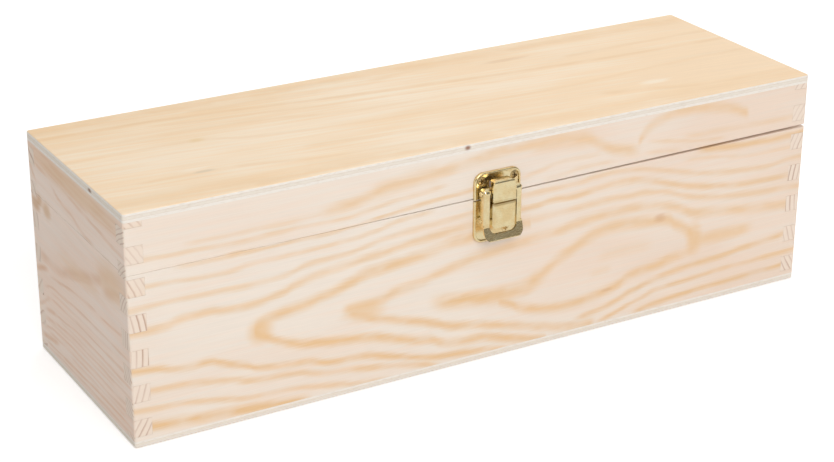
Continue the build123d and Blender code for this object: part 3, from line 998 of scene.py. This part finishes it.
@dataclass(frozen=True)
class BrassFinish:
    """Bright brass plating on pressed sheet.

    Painted shade darkens corners that are narrower than crevice, which is in metres, towards a
    dark brown. Where a height is given for it, a painted shadow line runs level just below it.
    """

    colour: Colour = Colour(242, 226, 180)
    deep: Colour = Colour(236, 212, 160)
    # The dark brown of the painted shade.
    painted_shade: Colour = Colour(122, 92, 42)
    crevice: float = 0.0014
    roughness: float = 0.24
    wear: float = 0.5
    dulling: float = 0.18
    relief: float = 0.05
    relief_metres: float = 0.0003
    # The height under which a painted shadow line runs, if any.
    shadow_line_height: Optional[float] = None

    def painted_step_shadow(self, g: Graph, place: Socket) -> Socket:
        """Paints a shadow line that runs level across a sheet, under a pressed step.

        Args:
            g: The material's graph.
            place: The place in the box in millimetres.

        Returns:
            How much painted shadow there is: sharp at its upper edge, fading down its lower wall.
        """
        below = g.math("SUBTRACT", self.shadow_line_height, g.separate(place)[2])
        edge = g.ramp(below, -0.15, 0.0, 0.0, 1.0)
        wall = g.ramp(below, 0.3, 0.75, 1.0, 0.45)
        foot = g.ramp(below, 1.3, 1.7, 1.0, 0.0)
        return g.math("MULTIPLY", g.math("MULTIPLY", edge, wall), foot)

    def material(self, name: str, effects: Effects) -> bpy.types.Material:
        """Builds the finish.

        Args:
            name: The material's name.
            effects: The shared node groups.

        Returns:
            The material.
        """
        made = bpy.data.materials.new(name)
        made.use_nodes = True
        g = Graph(made.node_tree)
        shader = made.node_tree.nodes["Principled BSDF"].inputs
        place = g.millimetres(g.node("TexCoord"))
        surface = effects.plated.place(g, Place=place, Wear=self.wear)
        # Painted shade: gaps and corners that ambient occlusion finds closed in turn dark brown.
        open_sky = g.node("AmbientOcclusion", samples=8)
        open_sky.inputs["Distance"].default_value = self.crevice
        shade_share = g.ramp(open_sky.outputs["AO"], 0.25, 0.8, 0.85, 0.0)
        # A painted shadow line under the step, blended towards the same dark brown.
        if self.shadow_line_height is not None:
            shade_share = g.math("MAXIMUM", shade_share, self.painted_step_shadow(g, place))
        share = g.ramp(surface["Cloud"], 0.35, 0.65)
        plating = g.blend(share, self.colour.linear(), self.deep.linear())
        rough = g.math("MULTIPLY_ADD", surface["Dulling"], self.dulling, self.roughness)
        g.feed(shader["Base Color"], g.blend(shade_share, plating, self.painted_shade.linear()))
        g.feed(shader["Metallic"], 1.0)
        g.feed(shader["Roughness"], rough)
        g.feed(shader["Normal"], g.bump(surface["Relief"], self.relief, self.relief_metres))
        return made


def dress(node: str, material: bpy.types.Material) -> None:
    """Gives a carried-over piece its finish.

    Args:
        node: The piece's name.
        material: Its finish.
    """
    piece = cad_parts[node]
    piece.data.materials.clear()
    piece.data.materials.append(material)
    LOG.info("%s: %s", node, material.name)


@dataclass
class TimberBox:
    """The pine frames of base and lid with their two plywood panels.

    The grain's lines are points along the board and up from the floor, or towards the back on
    the panels.
    """

    effects: Effects
    pine: PineFinish = PineFinish()
    ruddy: PineFinish = PineFinish(
        early=Colour(243, 227, 214), early_warm=Colour(241, 216, 198), late=Colour(224, 184, 152),
    )
    ply: PlywoodFinish = PlywoodFinish()
    half_length: float = 175.0
    half_depth: float = 55.0

    def front_board(self) -> Board:
        """The front: two nested pointed arches that open right, and two bows in the lid.

        The lines on its face are all drawn. Its rings show on its sawn tips.
        """
        tan = self.pine.late
        return Board(
            Axis.X, Axis.Y, Axis.Z, -self.half_depth, 1.0,
            pith_depth=((-175.0, 24.0), (0.0, 30.0), (175.0, 20.0)),
            pith_height=((-175.0, 45.5), (-50.0, 38.6), (50.0, 31.8), (72.0, 36.2), (175.0, 33.8)),
            ring_shift=((-175.0, 0.84), (-50.0, -1.12), (50.0, -2.5), (175.0, -1.1)),
            ring_width=2.1,
            waviness=0.3,
            rings_on_face=0.0,
            warmth=((-175.0, 0.25), (-60.0, 0.15), (10.0, 0.4), (90.0, 0.8), (175.0, 0.9)),
            strokes=(*self.front_arches(), *self.front_lines(), *self.lid_lines()),
            spots=(
                Spot(-116.0, 40.5, 6.5, 6.5, tan, 0.8, 0.15),
                Spot(-66.0, 38.2, 11.0, 5.5, tan, 0.6, 0.3),
                Spot(112.0, 34.5, 5.0, 9.0, tan, 0.75, 0.3),
                Spot(128.0, 33.0, 17.0, 4.2, tan, 0.45, 0.3),
                Spot(62.5, 19.0, 3.6, 1.1, Colour(206, 158, 120), 0.3, 0.4),
                Spot(91.5, 49.3, 3.8, 2.4, Colour(214, 170, 132), 0.55, 0.5),
            ),
        )

    @staticmethod
    def front_arches() -> tuple[Stroke, ...]:
        """The limbs of the two pointed arches, and the eye inside them."""
        return (
            Stroke(((-119.5, 40.5), (-116.0, 43.8), (-111.4, 45.4), (-102.0, 46.9), (-95.0, 47.9),
                (-87.7, 49.5), (-79.5, 51.0), (-71.4, 53.5), (-66.0, 55.4), (-56.8, 56.5),
                (-40.5, 58.1), (-32.0, 59.2), (-18.6, 61.5), (20.0, 62.5)), 2.3, 0.85, 1.5),
            Stroke(((-119.5, 41.5), (-116.0, 38.8), (-113.0, 37.0), (-107.7, 34.0), (-102.0, 31.5),
                (-95.0, 29.4), (-87.7, 28.3), (-79.5, 26.9), (-61.4, 24.2), (-55.0, 22.4),
                (-47.7, 20.1), (-40.5, 18.0), (-32.0, 16.0), (-27.7, 13.7), (-22.3, 12.0),
                (-6.8, 11.0), (0.0, 9.6), (9.0, 6.9), (18.0, 4.2), (30.0, 1.0)), 2.0, 0.95, 1.5),
            Stroke(((-78.0, 41.0), (-67.7, 40.7), (-56.8, 41.9), (-51.4, 43.8), (-43.2, 45.0),
                (-36.8, 45.6), (-30.5, 47.3), (-16.8, 50.0), (0.0, 51.8), (18.0, 53.7), (34.5, 54.7),
                (45.5, 56.4), (69.0, 57.5), (86.0, 56.2), (95.5, 54.6), (101.0, 52.8), (105.5, 50.6),
                (111.0, 48.0), (127.0, 45.8), (145.5, 43.3), (184.0, 39.0)), 2.1, 0.7, 5.0),
            Stroke(((-76.0, 40.0), (-67.7, 36.4), (-61.4, 33.4), (-55.0, 31.7), (-47.7, 29.2),
                (-34.0, 25.1), (-29.5, 23.5), (-24.0, 21.0), (-6.8, 17.4), (9.0, 13.5), (34.5, 6.5),
                (45.5, 4.6), (58.0, 3.6)), 1.9, 0.85, 5.0),
            Stroke(((-30.0, 33.5), (-20.0, 31.8), (0.0, 30.0), (9.0, 30.2), (16.0, 31.2), (23.6, 34.0),
                (29.0, 37.2), (34.5, 40.6), (41.0, 43.5), (47.0, 46.3), (54.5, 49.0), (62.0, 50.3),
                (71.0, 50.6), (78.0, 49.8), (84.5, 49.0), (95.5, 47.6), (100.0, 44.6), (104.5, 41.9),
                (109.0, 39.0), (113.0, 35.0)), 2.6, 0.75, 4.0),
            Stroke(((0.0, 28.5), (4.5, 26.4), (10.0, 23.8), (13.6, 21.2), (21.0, 18.9), (27.0, 17.5),
                (36.0, 16.6), (45.5, 16.6), (63.0, 18.9), (69.0, 20.5), (73.0, 22.6), (78.0, 24.0),
                (91.0, 25.5), (98.0, 27.0), (106.0, 28.0), (114.0, 30.5)), 2.1, 0.85, 4.0),
            Stroke(((-36.0, 35.0), (-15.0, 31.8), (0.0, 30.0), (12.0, 30.0), (22.0, 32.6),
                (34.0, 40.0)), 3.4, 0.95, 14.0),
            Stroke(((108.0, 33.5), (125.0, 32.8), (150.0, 33.2)), 2.4, 0.6, 10.0),
            Stroke(((54.0, 34.0), (66.0, 37.0), (90.0, 37.0)), 2.4, 0.25, 8.0),
            Stroke(((50.0, 29.4), (66.0, 29.8)), 1.6, 0.35, 5.0),
        )

    @staticmethod
    def front_lines() -> tuple[Stroke, ...]:
        """The base's other lines: level above the arches, running down below them."""
        above = (
            (0.55, 1.0, ((-184.0, 72.4), (-157.0, 72.4), (-148.0, 71.5), (-130.0, 71.0),
                (-120.0, 72.2), (-80.0, 73.0), (-61.0, 74.6), (-52.0, 76.4), (-43.0, 77.4),
                (-28.0, 78.0))),
            (0.55, 1.2, ((-184.0, 63.0), (-148.0, 63.7), (-137.0, 63.3), (-120.0, 62.8),
                (-102.0, 64.2), (-93.0, 66.0), (-73.0, 67.4), (-57.0, 69.8), (-43.0, 71.3),
                (-15.0, 72.8), (0.0, 73.5))),
            (0.7, 1.7, ((-184.0, 53.5), (-160.0, 52.8), (-154.0, 54.2), (-148.0, 55.0), (-139.0, 55.0),
                (-131.0, 53.8), (-120.0, 53.7), (-111.0, 54.9), (-105.0, 56.0), (-99.0, 58.2),
                (-80.0, 61.4), (-61.0, 63.5), (-34.0, 66.1), (-11.0, 67.4), (10.0, 68.0))),
            (0.7, 0.9, ((-157.0, 78.4), (-100.0, 78.3), (-80.0, 78.6), (-60.0, 80.2), (-47.0, 81.5),
                (-28.0, 83.4), (0.0, 84.5))),
            (0.55, 1.2, ((5.0, 76.0), (25.0, 76.0), (45.5, 76.6), (54.5, 77.6), (64.0, 77.7),
                (75.5, 76.9), (86.0, 74.6), (104.5, 69.8), (125.5, 65.6), (145.5, 63.7), (154.5, 63.3),
                (168.0, 64.7), (184.0, 63.0))),
            (0.75, 1.4, ((5.0, 69.3), (22.7, 69.8), (31.0, 70.8), (39.0, 70.2), (51.0, 71.0),
                (62.0, 72.0), (70.0, 71.9), (82.0, 70.1), (91.0, 67.4), (109.0, 62.0), (127.0, 58.7),
                (145.5, 56.7), (184.0, 56.4))),
            (0.6, 1.4, ((5.0, 63.5), (36.0, 63.7), (64.0, 64.7), (73.0, 64.1), (80.0, 64.3),
                (86.0, 63.5), (95.5, 61.4), (104.5, 58.0), (112.0, 55.8), (123.0, 53.7), (141.0, 51.3),
                (168.0, 49.8), (184.0, 49.0))),
            (0.4, 1.0, ((100.0, 76.5), (118.0, 74.6), (136.0, 71.9), (150.0, 71.0), (184.0, 71.0))),
            (0.85, 1.5, ((108.0, 79.6), (127.0, 78.4), (145.5, 76.9), (159.0, 76.7), (184.0, 77.6))),
        )
        below = (
            (0.9, 1.5, ((-184.0, 36.4), (-166.0, 35.0), (-149.5, 31.4), (-141.0, 32.0), (-135.0, 30.4),
                (-129.5, 28.3), (-122.0, 25.8), (-118.0, 23.8), (-102.0, 21.1), (-95.0, 20.7),
                (-79.5, 17.0), (-70.5, 16.8), (-54.0, 13.3), (-43.0, 10.0), (-29.5, 6.9), (-11.0, 5.1),
                (12.0, 1.0))),
            (0.75, 1.4, ((-176.0, 25.9), (-157.0, 24.6), (-131.0, 21.0), (-118.6, 17.8), (-99.5, 16.4),
                (-87.0, 13.3), (-70.5, 11.0), (-46.0, 6.9), (-25.0, 2.0))),
            (0.65, 1.2, ((-184.0, 17.6), (-157.0, 15.9), (-148.0, 15.1), (-131.0, 11.9),
                (-120.0, 10.2), (-104.0, 9.7), (-84.0, 6.4), (-66.0, 3.3), (-50.0, 1.8))),
            (1.0, 2.1, ((-184.0, 10.0), (-167.7, 8.7), (-148.0, 7.1), (-129.5, 5.7), (-111.0, 3.8),
                (-90.0, 1.6))),
            (0.8, 1.4, ((42.0, 7.6), (56.0, 9.4), (63.6, 11.0), (77.0, 15.1), (95.5, 19.2),
                (113.6, 21.0), (132.0, 21.9), (141.0, 23.2), (159.0, 24.2), (172.0, 27.2))),
            (0.8, 1.1, ((54.0, 2.6), (65.5, 5.5), (80.0, 9.6), (93.6, 12.6), (113.6, 14.0),
                (132.0, 15.0), (150.0, 15.0), (184.0, 16.4))),
            (0.85, 1.2, ((74.0, 2.4), (95.5, 6.0), (118.0, 7.4), (145.5, 8.0), (165.5, 8.8),
                (178.0, 9.4))),
        )
        return strokes(above + below)

    @staticmethod
    def lid_lines() -> tuple[Stroke, ...]:
        """The lid's two bows and the fine lines under them."""
        bows = (
            Stroke(((-90.0, 88.4), (-70.5, 89.8), (-63.0, 91.3), (-49.5, 94.4), (-38.0, 94.8),
                (-13.0, 97.4), (0.0, 99.0), (18.0, 99.8), (35.0, 98.6), (47.0, 97.0), (55.0, 93.2),
                (60.0, 90.4), (66.0, 88.0), (80.0, 85.5)), 2.3, 0.7),
            Stroke(((-66.0, 91.0), (-52.0, 93.6), (-40.0, 95.0), (-24.0, 95.6)), 3.2, 0.6),
            Stroke(((14.0, 100.0), (35.0, 98.6), (54.0, 96.6)), 3.4, 0.6),
            Stroke(((75.5, 88.5), (78.0, 91.5), (80.0, 94.0), (85.0, 97.2), (91.0, 99.2),
                (100.0, 100.8), (110.0, 100.4), (122.0, 98.6), (131.0, 96.4), (136.0, 94.4),
                (141.0, 92.0)), 2.3, 0.7, 3.0),
        )
        fine = (
            (0.5, 1.0, ((-176.0, 84.8), (-148.0, 84.0), (-120.0, 83.3), (-106.0, 84.1), (-79.0, 83.7),
                (-66.0, 84.9), (-43.0, 87.3), (-22.0, 89.0))),
            (0.4, 1.0, ((-152.0, 88.4), (-135.0, 87.5), (-95.0, 87.5), (-84.0, 88.4), (-70.0, 89.4))),
            (0.4, 1.0, ((10.0, 84.2), (25.5, 86.5), (34.0, 88.2), (60.0, 88.3))),
            (0.35, 1.0, ((22.0, 81.0), (36.0, 82.2), (49.0, 83.3), (68.0, 81.6))),
            (0.45, 0.9, ((80.0, 89.2), (93.0, 87.5), (109.0, 84.6), (130.0, 83.0))),
            (0.4, 1.2, ((100.0, 89.2), (113.0, 87.4), (141.0, 86.7), (184.0, 85.6))),
            (0.35, 0.9, ((78.0, 84.2), (104.0, 81.0))),
        )
        return bows + strokes(fine)

    def left_lines(self) -> tuple[Stroke, ...]:
        """The left end's lines: close and level below, a bent tan band, and bows above."""
        fine_half_width = 0.62
        wide = (
            (0.6, 2.2, ((-52.0, 49.5), (-40.0, 50.0), (-30.0, 49.5), (-22.0, 50.7), (-15.0, 53.0),
                (-8.0, 55.5), (0.0, 58.0), (10.0, 61.0), (25.0, 65.5), (32.0, 68.0))),
            (0.45, 1.2, ((-24.0, 50.0), (-10.0, 53.0), (0.0, 56.0), (12.0, 59.5), (22.0, 62.5))),
            (0.55, 2.6, ((24.0, 60.5), (34.0, 63.0), (45.0, 66.5), (58.0, 70.0))),
            (0.3, 4.5, ((20.0, 68.5), (36.0, 70.5), (60.0, 75.0))),
            (0.9, 1.5, ((-58.0, 94.0), (-50.0, 88.5), (-43.5, 82.0))),
            (0.8, 1.3, ((-58.0, 40.0), (-52.0, 41.5), (-45.0, 43.5), (-36.0, 45.5))),
            (0.8, 1.1, ((-58.0, 21.5), (-53.0, 23.0), (-47.0, 26.0), (-42.0, 29.5), (-36.0, 31.5))),
            (0.8, 1.1, ((-56.0, 7.5), (-50.0, 8.7), (-40.0, 10.3), (-28.0, 12.0))),
            (0.75, 0.9, ((-50.0, 17.5), (-42.0, 19.3), (-30.0, 20.5))),
            (0.7, 1.0, ((-49.0, 21.5), (-40.0, 24.5), (-28.0, 26.0))),
        )
        fine = (
            (0.6, ((-40.0, 42.0), (-30.0, 43.5), (-20.0, 45.0), (-5.0, 47.0), (8.0, 47.8),
                (22.0, 48.0))),
            (0.6, ((20.0, 47.6), (40.0, 48.5), (52.0, 49.5))),
            (0.55, ((-48.0, 34.0), (-42.0, 35.8), (-35.0, 37.5), (-20.0, 38.5), (0.0, 40.0),
                (20.0, 40.0), (58.0, 40.3))),
            (0.3, ((-40.0, 34.5), (0.0, 36.0), (40.0, 36.2))),
            (0.5, ((-42.0, 31.0), (-20.0, 32.0), (10.0, 32.5), (58.0, 32.2))),
            (0.55, ((-38.0, 25.0), (-20.0, 26.5), (0.0, 28.0), (20.0, 28.0), (58.0, 27.2))),
            (0.3, ((-30.0, 23.8), (0.0, 25.0), (50.0, 25.0))),
            (0.5, ((-38.0, 20.3), (-20.0, 22.0), (0.0, 22.7), (30.0, 22.7), (58.0, 22.3))),
            (0.3, ((-44.0, 18.0), (-10.0, 19.7), (40.0, 20.0))),
            (0.55, ((-52.0, 12.8), (-42.0, 15.0), (-35.0, 16.2), (0.0, 17.2), (58.0, 17.0))),
            (0.5, ((-46.0, 11.8), (-30.0, 13.4), (-10.0, 14.0), (30.0, 13.6), (58.0, 13.8))),
            (0.35, ((-20.0, 11.0), (10.0, 11.4), (50.0, 11.3))),
            (0.65, ((-50.0, 6.3), (-25.0, 7.0), (0.0, 8.0), (20.0, 8.6), (58.0, 8.2))),
            (0.45, ((-50.0, 3.6), (-20.0, 5.0), (15.0, 5.4), (58.0, 4.8))),
            (0.4, ((-54.0, 2.2), (0.0, 2.4), (50.0, 2.6))),
        )
        upper = (
            (0.5, 0.9, ((-32.0, 90.8), (-25.0, 88.5), (-18.0, 86.0), (-5.0, 84.3), (4.0, 81.6),
                (12.0, 80.0), (24.0, 79.4))),
            (0.55, 0.7, ((-52.0, 95.0), (-40.0, 93.0), (-28.0, 91.4))),
            (0.55, 0.8, ((-20.0, 94.0), (-10.0, 92.5), (5.0, 90.5), (15.0, 89.7), (28.0, 88.6),
                (45.0, 86.8), (58.0, 85.6))),
            (0.5, 1.1, ((-46.0, 98.0), (-30.0, 96.2), (-12.0, 95.3), (4.0, 93.4), (20.0, 92.3))),
            (0.5, 1.2, ((-34.0, 100.2), (-15.0, 98.5), (0.0, 97.5), (15.0, 96.6), (50.0, 96.0))),
            (0.5, 0.8, ((-54.0, 101.2), (-36.0, 100.6), (-20.0, 100.0), (20.0, 99.4), (58.0, 99.0))),
            (0.45, 0.6, ((-56.0, 98.8), (-44.0, 97.0), (-30.0, 94.4), (-12.0, 93.6))),
            (0.45, 0.7, ((10.0, 94.4), (26.0, 93.8), (58.0, 93.4))),
            (0.22, 5.0, ((-60.0, 97.0), (0.0, 97.5), (60.0, 97.0))),
        )
        rows = [*wide, *upper, *((strength, fine_half_width, path) for strength, path in fine)]
        return strokes([(strength, width, self.mirrored(path)) for strength, width, path in rows])

    @staticmethod
    def mirrored(path: Sequence[Point]) -> tuple[Point, ...]:
        """Turns a path that is counted from the back to the front into one along the row's Y."""
        return tuple((-along, height) for along, height in reversed(path))

    def end_board(self, side: int) -> Board:
        """An end. Its own tips, seen on the front, show the rings of a pith outside the box."""
        left = side < 0
        return Board(
            Axis.Y, Axis.X, Axis.Z, side * self.half_length, -float(side),
            pith_depth=((0.0, 60.0), (1.0, 60.0)),
            pith_height=((-55.0, 45.0), (55.0, 47.0)),
            ring_shift=((-55.0, 0.0), (-20.0, -0.3), (20.0, -0.9), (55.0, -1.3)),
            waviness=0.45,
            rings_on_face=0.12 if left else 1.0,
            strokes=self.left_lines() if left else (),
            spots=(
                Spot(49.0, 73.5, 6.5, 3.8, Colour(206, 162, 116), 0.65, 0.5),
                Spot(44.0, 77.0, 4.5, 3.0, Colour(212, 168, 122), 0.6, 0.5),
                Spot(35.5, 74.5, 5.5, 4.6, Colour(216, 176, 130), 0.6, 0.5),
                Spot(-38.0, 69.0, 17.0, 10.0, Colour(230, 196, 158), 0.5, 0.3),
                Spot(0.0, 58.0, 26.0, 5.0, Colour(232, 198, 160), 0.35, 0.6),
                Spot(0.0, 97.5, 62.0, 6.0, Colour(228, 190, 146), 0.5, 0.3),
            ) if left else (),
        )

    def back_board(self) -> Board:
        """The back, which the photo doesn't show: a long plain arch."""
        return Board(
            Axis.X, Axis.Y, Axis.Z, self.half_depth, -1.0,
            pith_depth=((-175.0, 24.0), (0.0, 30.0), (175.0, 26.0)),
            pith_height=((-175.0, 58.0), (-60.0, 52.0), (60.0, 60.0), (175.0, 50.0)),
            ring_shift=((-175.0, -1.6), (-40.0, -0.9), (70.0, 0.3), (175.0, 1.2)),
            ring_width=5.0,
            waviness=0.6,
            swells=(Swell(-90.0, 60.0, 45.0, 14.0, -0.9),),
        )

    @staticmethod
    def top_lines() -> tuple[Stroke, ...]:
        """The top veneer's faint, blotchy lines, which drift to the front at the right."""
        faint = (
            (0.6, 1.6, ((-184.0, 40.5), (-128.0, 38.5), (-100.0, 36.0), (-60.0, 30.0), (-20.0, 24.5),
                (30.0, 19.0), (60.0, 16.0), (110.0, 12.5), (184.0, 10.0))),
            (0.35, 1.2, ((-130.0, 32.5), (-95.0, 27.5), (-40.0, 19.0), (-10.0, 16.0), (45.0, 8.0))),
            (0.3, 1.4, ((-184.0, 20.0), (-140.0, 20.5), (-85.0, 17.0), (-30.0, 6.0), (30.0, 4.0))),
            (0.35, 1.4, ((-184.0, 8.0), (-120.0, 7.0), (-95.0, 0.0), (-40.0, -8.0), (20.0, -11.5),
                (60.0, -12.5), (120.0, -9.5), (184.0, -8.0))),
            (0.45, 1.6, ((84.0, 24.0), (120.0, 24.5), (184.0, 23.5))),
            (0.5, 2.2, ((70.0, -29.0), (95.0, -34.0), (130.0, -42.0), (184.0, -43.0))),
            (0.35, 1.6, ((-80.0, -22.5), (-40.0, -27.0), (20.0, -36.0), (50.0, -38.0))),
            (0.4, 1.5, ((-160.0, -28.0), (-120.0, -29.0), (-80.0, -37.0), (0.0, -45.0), (40.0, -48.0))),
            (0.5, 2.2, ((-184.0, -45.5), (-100.0, -49.0), (0.0, -51.5))),
            (0.4, 3.0, ((-110.0, 44.5), (-20.0, 38.0), (10.0, 42.0), (50.0, 41.0))),
            (0.6, 4.5, ((-184.0, 50.0), (0.0, 48.0), (90.0, 46.5), (184.0, 47.0))),
            (0.5, 3.5, ((-120.0, -52.0), (-50.0, -50.0), (10.0, -54.0))),
            (0.4, 5.0, ((-184.0, -42.0), (-60.0, -47.0), (60.0, -46.0), (184.0, -50.0))),
        )
        return strokes(faint)

    def veneer(self, face: float, inward: float) -> Board:
        """A veneer. Only the top one shows in the photo."""
        top = inward < 0
        return Board(
            Axis.X, Axis.Z, Axis.Y, face, inward,
            pith_depth=((0.0, 18.0), (1.0, 18.0)),
            pith_height=((-175.0, 12.0), (-100.0, 8.0), (0.0, -6.0), (175.0, -20.0)),
            ring_shift=((-175.0, 0.4), (0.0, 0.0), (175.0, -0.6)),
            ring_width=7.5,
            waviness=1.6,
            rings_on_face=0.1 if top else 0.8,
            warmth=((-175.0, 0.65), (-40.0, 0.5), (60.0, 0.8), (175.0, 1.2)),
            drift=0.09,
            strokes=self.top_lines() if top else (),
            spots=(
                Spot(60.0, 34.0, 14.0, 2.2, Colour(228, 190, 146), 0.55, 0.6),
                Spot(-127.0, -28.0, 5.5, 1.6, Colour(212, 194, 168), 0.55, 0.6),
                Spot(-115.0, 7.0, 4.2, 2.4, Colour(234, 202, 148), 0.6, 0.4),
                Spot(105.0, -27.0, 9.0, 3.0, Colour(248, 234, 214), 0.6, 0.6),
                Spot(-130.0, -24.0, 8.0, 1.6, Colour(248, 234, 214), 0.5, 0.6),
            ) if top else (),
            edge_spots=(
                Spot(-14.5, 104.3, 1.7, 1.2, Colour(150, 108, 86), 0.95, 0.1),
                Spot(-220.0, 104.0, 2.2, 1.0, Colour(146, 108, 84), 0.9, 0.1),
            ) if top else (),
        )

    def build(self) -> None:
        """Dresses the ten wooden pieces."""
        for board, finish, how in (
            ("front", self.pine, self.front_board()),
            ("back", self.pine, self.back_board()),
            ("left_end", self.ruddy, self.end_board(-1)),
            ("right_end", self.pine, self.end_board(1)),
        ):
            painted = finish.paint(f"pine_{board}", how, self.effects)
            for part in ("base", "lid"):
                dress(f"{part}_{board}", painted.material)
        for node, inward in (("lid_top_panel", -1.0), ("base_bottom_panel", 1.0)):
            low, high = (corner.z * MM_PER_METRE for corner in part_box(node))
            veneer = self.veneer(high if inward < 0 else low, inward)
            painted = self.ply.panel(f"plywood_{node}", veneer, low, high, self.effects)
            dress(node, painted.material)


@dataclass
class ToggleLatch:
    """The plated latch on the front.

    The strike plate's screws have the finish heads, and the base plate's, deep behind the lever,
    have sunk, which paints almost no shade in their corners. The draw plate, which is folded, has
    a finish with a painted shadow line under its step.
    """

    effects: Effects
    brass: BrassFinish = BrassFinish()
    heads: BrassFinish = BrassFinish(
        colour=Colour(214, 188, 136), deep=Colour(120, 92, 48), roughness=0.3, wear=0.9, relief=0.5,
    )
    sunk: BrassFinish = BrassFinish(crevice=0.0002, roughness=0.35)
    # The draw plate's finish, with a painted shadow line under its step at 79 mm.
    step_shadowed: BrassFinish = BrassFinish(shadow_line_height=79.0)
    nodes: tuple[str, ...] = (
        "latch_strike_plate", "latch_base_plate", "latch_lever", "latch_lever_rivets",
        "latch_draw_plate", "latch_draw_pin", "latch_strike_screws", "latch_base_screws",
    )

    def build(self) -> None:
        """Dresses the latch's pieces."""
        finish = self.brass.material("brass_latch", self.effects)
        special = {
            "latch_strike_screws": self.heads.material("brass_heads", self.effects),
            "latch_base_screws": self.sunk.material("brass_sunk", self.effects),
            "latch_draw_plate": self.step_shadowed.material("brass_step_shadow", self.effects),
        }
        for node in self.nodes:
            dress(node, special.get(node, finish))


@dataclass
class ButtHinges:
    """The two plated hinges at the back."""

    effects: Effects
    brass: BrassFinish = BrassFinish(roughness=0.22, wear=0.7)

    def build(self) -> None:
        """Dresses both hinges."""
        finish = self.brass.material("brass_hinge", self.effects)
        for side in ("left", "right"):
            for piece in ("base_leaf", "lid_leaf", "pin", "base_screws", "lid_screws"):
                dress(f"{side}_hinge_{piece}", finish)


@dataclass(frozen=True)
class Lamp:
    """A soft square lamp that faces the box, in metres and watts."""

    name: str
    place: Place
    side: float
    watts: float

    def hang(self, target: Place) -> None:
        """Hangs the lamp.

        Args:
            target: What it faces.
        """
        data = bpy.data.lights.new(self.name, "AREA")
        data.size = self.side
        data.energy = self.watts
        made = bpy.data.objects.new(self.name, data)
        aim = Vector(target) - Vector(self.place)
        made.location = self.place
        made.rotation_euler = aim.to_track_quat("-Z", "Y").to_euler()
        bpy.context.scene.collection.objects.link(made)


@dataclass
class Studio:
    """Floor, light and camera. Places are metres in the box's own frame.

    The camera's place and axes were found from the box's corners in the photo. What
    reflections find in the world is the sum of low_sky and high_sky. Each is a ramp over how
    far up they look, as two heights and the light at both.
    """

    eye: Place = (-0.4490955, -0.7634800, 0.4224366)
    right: Place = (0.866681, -0.498849, 0.003715)
    up: Place = (0.194181, 0.344204, 0.918595)
    back: Place = (-0.459519, -0.795408, 0.395182)
    lens_mm: float = 88.608
    sensor_mm: float = 36.0
    near_clip: float = 0.05
    floor_half: float = 6.0
    floor_gap: float = 0.0002
    floor_colour: Colour = Colour(228, 227, 226)
    floor_roughness: float = 0.9
    seen_glow: float = 0.4
    mirrored_glow: float = 0.06
    surround: float = 0.5
    low_sky: tuple[float, float, float, float] = (0.0, 0.12, 0.8, 0.1)
    high_sky: tuple[float, float, float, float] = (0.45, 0.8, 0.0, 0.65)
    box_middle: Place = (0.0, 0.0, 0.05)
    lamps: tuple[Lamp, ...] = (
        Lamp("key_lamp", (-0.4, -2.2, 1.5), 1.6, 36.0),
        Lamp("top_lamp", (-0.2, 0.2, 2.4), 1.8, 8.5),
        Lamp("back_lamp", (1.6, 1.8, 0.7), 1.6, 22.0),
    )

    def build(self) -> None:
        """Builds the camera, the floor and the lights."""
        self.camera()
        self.floor()
        self.world()
        for lamp in self.lamps:
            lamp.hang(self.box_middle)

    def camera(self) -> None:
        """Places the camera where the photo was taken from."""
        data = bpy.data.cameras.new("photo_camera")
        data.sensor_fit = "HORIZONTAL"
        data.sensor_width = self.sensor_mm
        data.lens = self.lens_mm
        data.clip_start = self.near_clip
        made = bpy.data.objects.new("photo_camera", data)
        turn = Matrix((self.right, self.up, self.back)).transposed().to_4x4()
        made.matrix_world = Matrix.Translation(Vector(self.eye)) @ turn
        bpy.context.scene.collection.objects.link(made)
        bpy.context.scene.camera = made

    def floor(self) -> None:
        """Lays the pale floor just under the box."""
        half = self.floor_half
        data = bpy.data.meshes.new("floor")
        corners = [(-half, -half, 0.0), (half, -half, 0.0), (half, half, 0.0), (-half, half, 0.0)]
        data.from_pydata(corners, [], [(0, 1, 2, 3)])
        made = bpy.data.objects.new("floor", data)
        made.location.z = -self.floor_gap
        bpy.context.scene.collection.objects.link(made)
        paint = bpy.data.materials.new("floor_paper")
        paint.use_nodes = True
        g = Graph(paint.node_tree)
        shader = paint.node_tree.nodes["Principled BSDF"].inputs
        seen = g.node("LightPath")
        mirrored = g.math("MULTIPLY", seen.outputs["Is Glossy Ray"], self.mirrored_glow)
        glow = g.math("MULTIPLY_ADD", g.straight(seen), self.seen_glow, mirrored)
        g.feed(shader["Base Color"], self.floor_colour.linear())
        g.feed(shader["Roughness"], self.floor_roughness)
        g.feed(shader["Specular IOR Level"], 0.0)
        g.feed(shader["Emission Color"], WHITE)
        g.feed(shader["Emission Strength"], glow)
        data.materials.append(paint)

    def world(self) -> None:
        """Makes an even pale surround that is dark just above the floor in reflections."""
        made = bpy.data.worlds.new("studio")
        bpy.context.scene.world = made
        made.use_nodes = True
        g = Graph(made.node_tree)
        background = made.node_tree.nodes["Background"].inputs
        seen = g.node("LightPath")
        up = g.separate(g.node("TexCoord").outputs["Generated"])[2]
        shade = g.math("ADD", g.ramp(up, *self.low_sky), g.ramp(up, *self.high_sky))
        even = (self.surround, self.surround, self.surround, 1.0)
        mirrored = g.combine(shade, shade, shade)
        light = g.blend(seen.outputs["Is Glossy Ray"], even, mirrored)
        g.feed(background["Color"], g.blend(g.straight(seen), light, WHITE))
        g.feed(background["Strength"], 1.0)


def main() -> None:
    """Dresses the box and sets the studio."""
    logging.basicConfig(level=logging.INFO, format="%(name)s %(message)s")
    bpy.context.scene.view_settings.view_transform = "Standard"
    effects = Effects()
    for assembly in (TimberBox(effects), ToggleLatch(effects), ButtHinges(effects), Studio()):
        assembly.build()
        LOG.info("built %s", type(assembly).__name__)


if __name__ == "__main__":
    main()
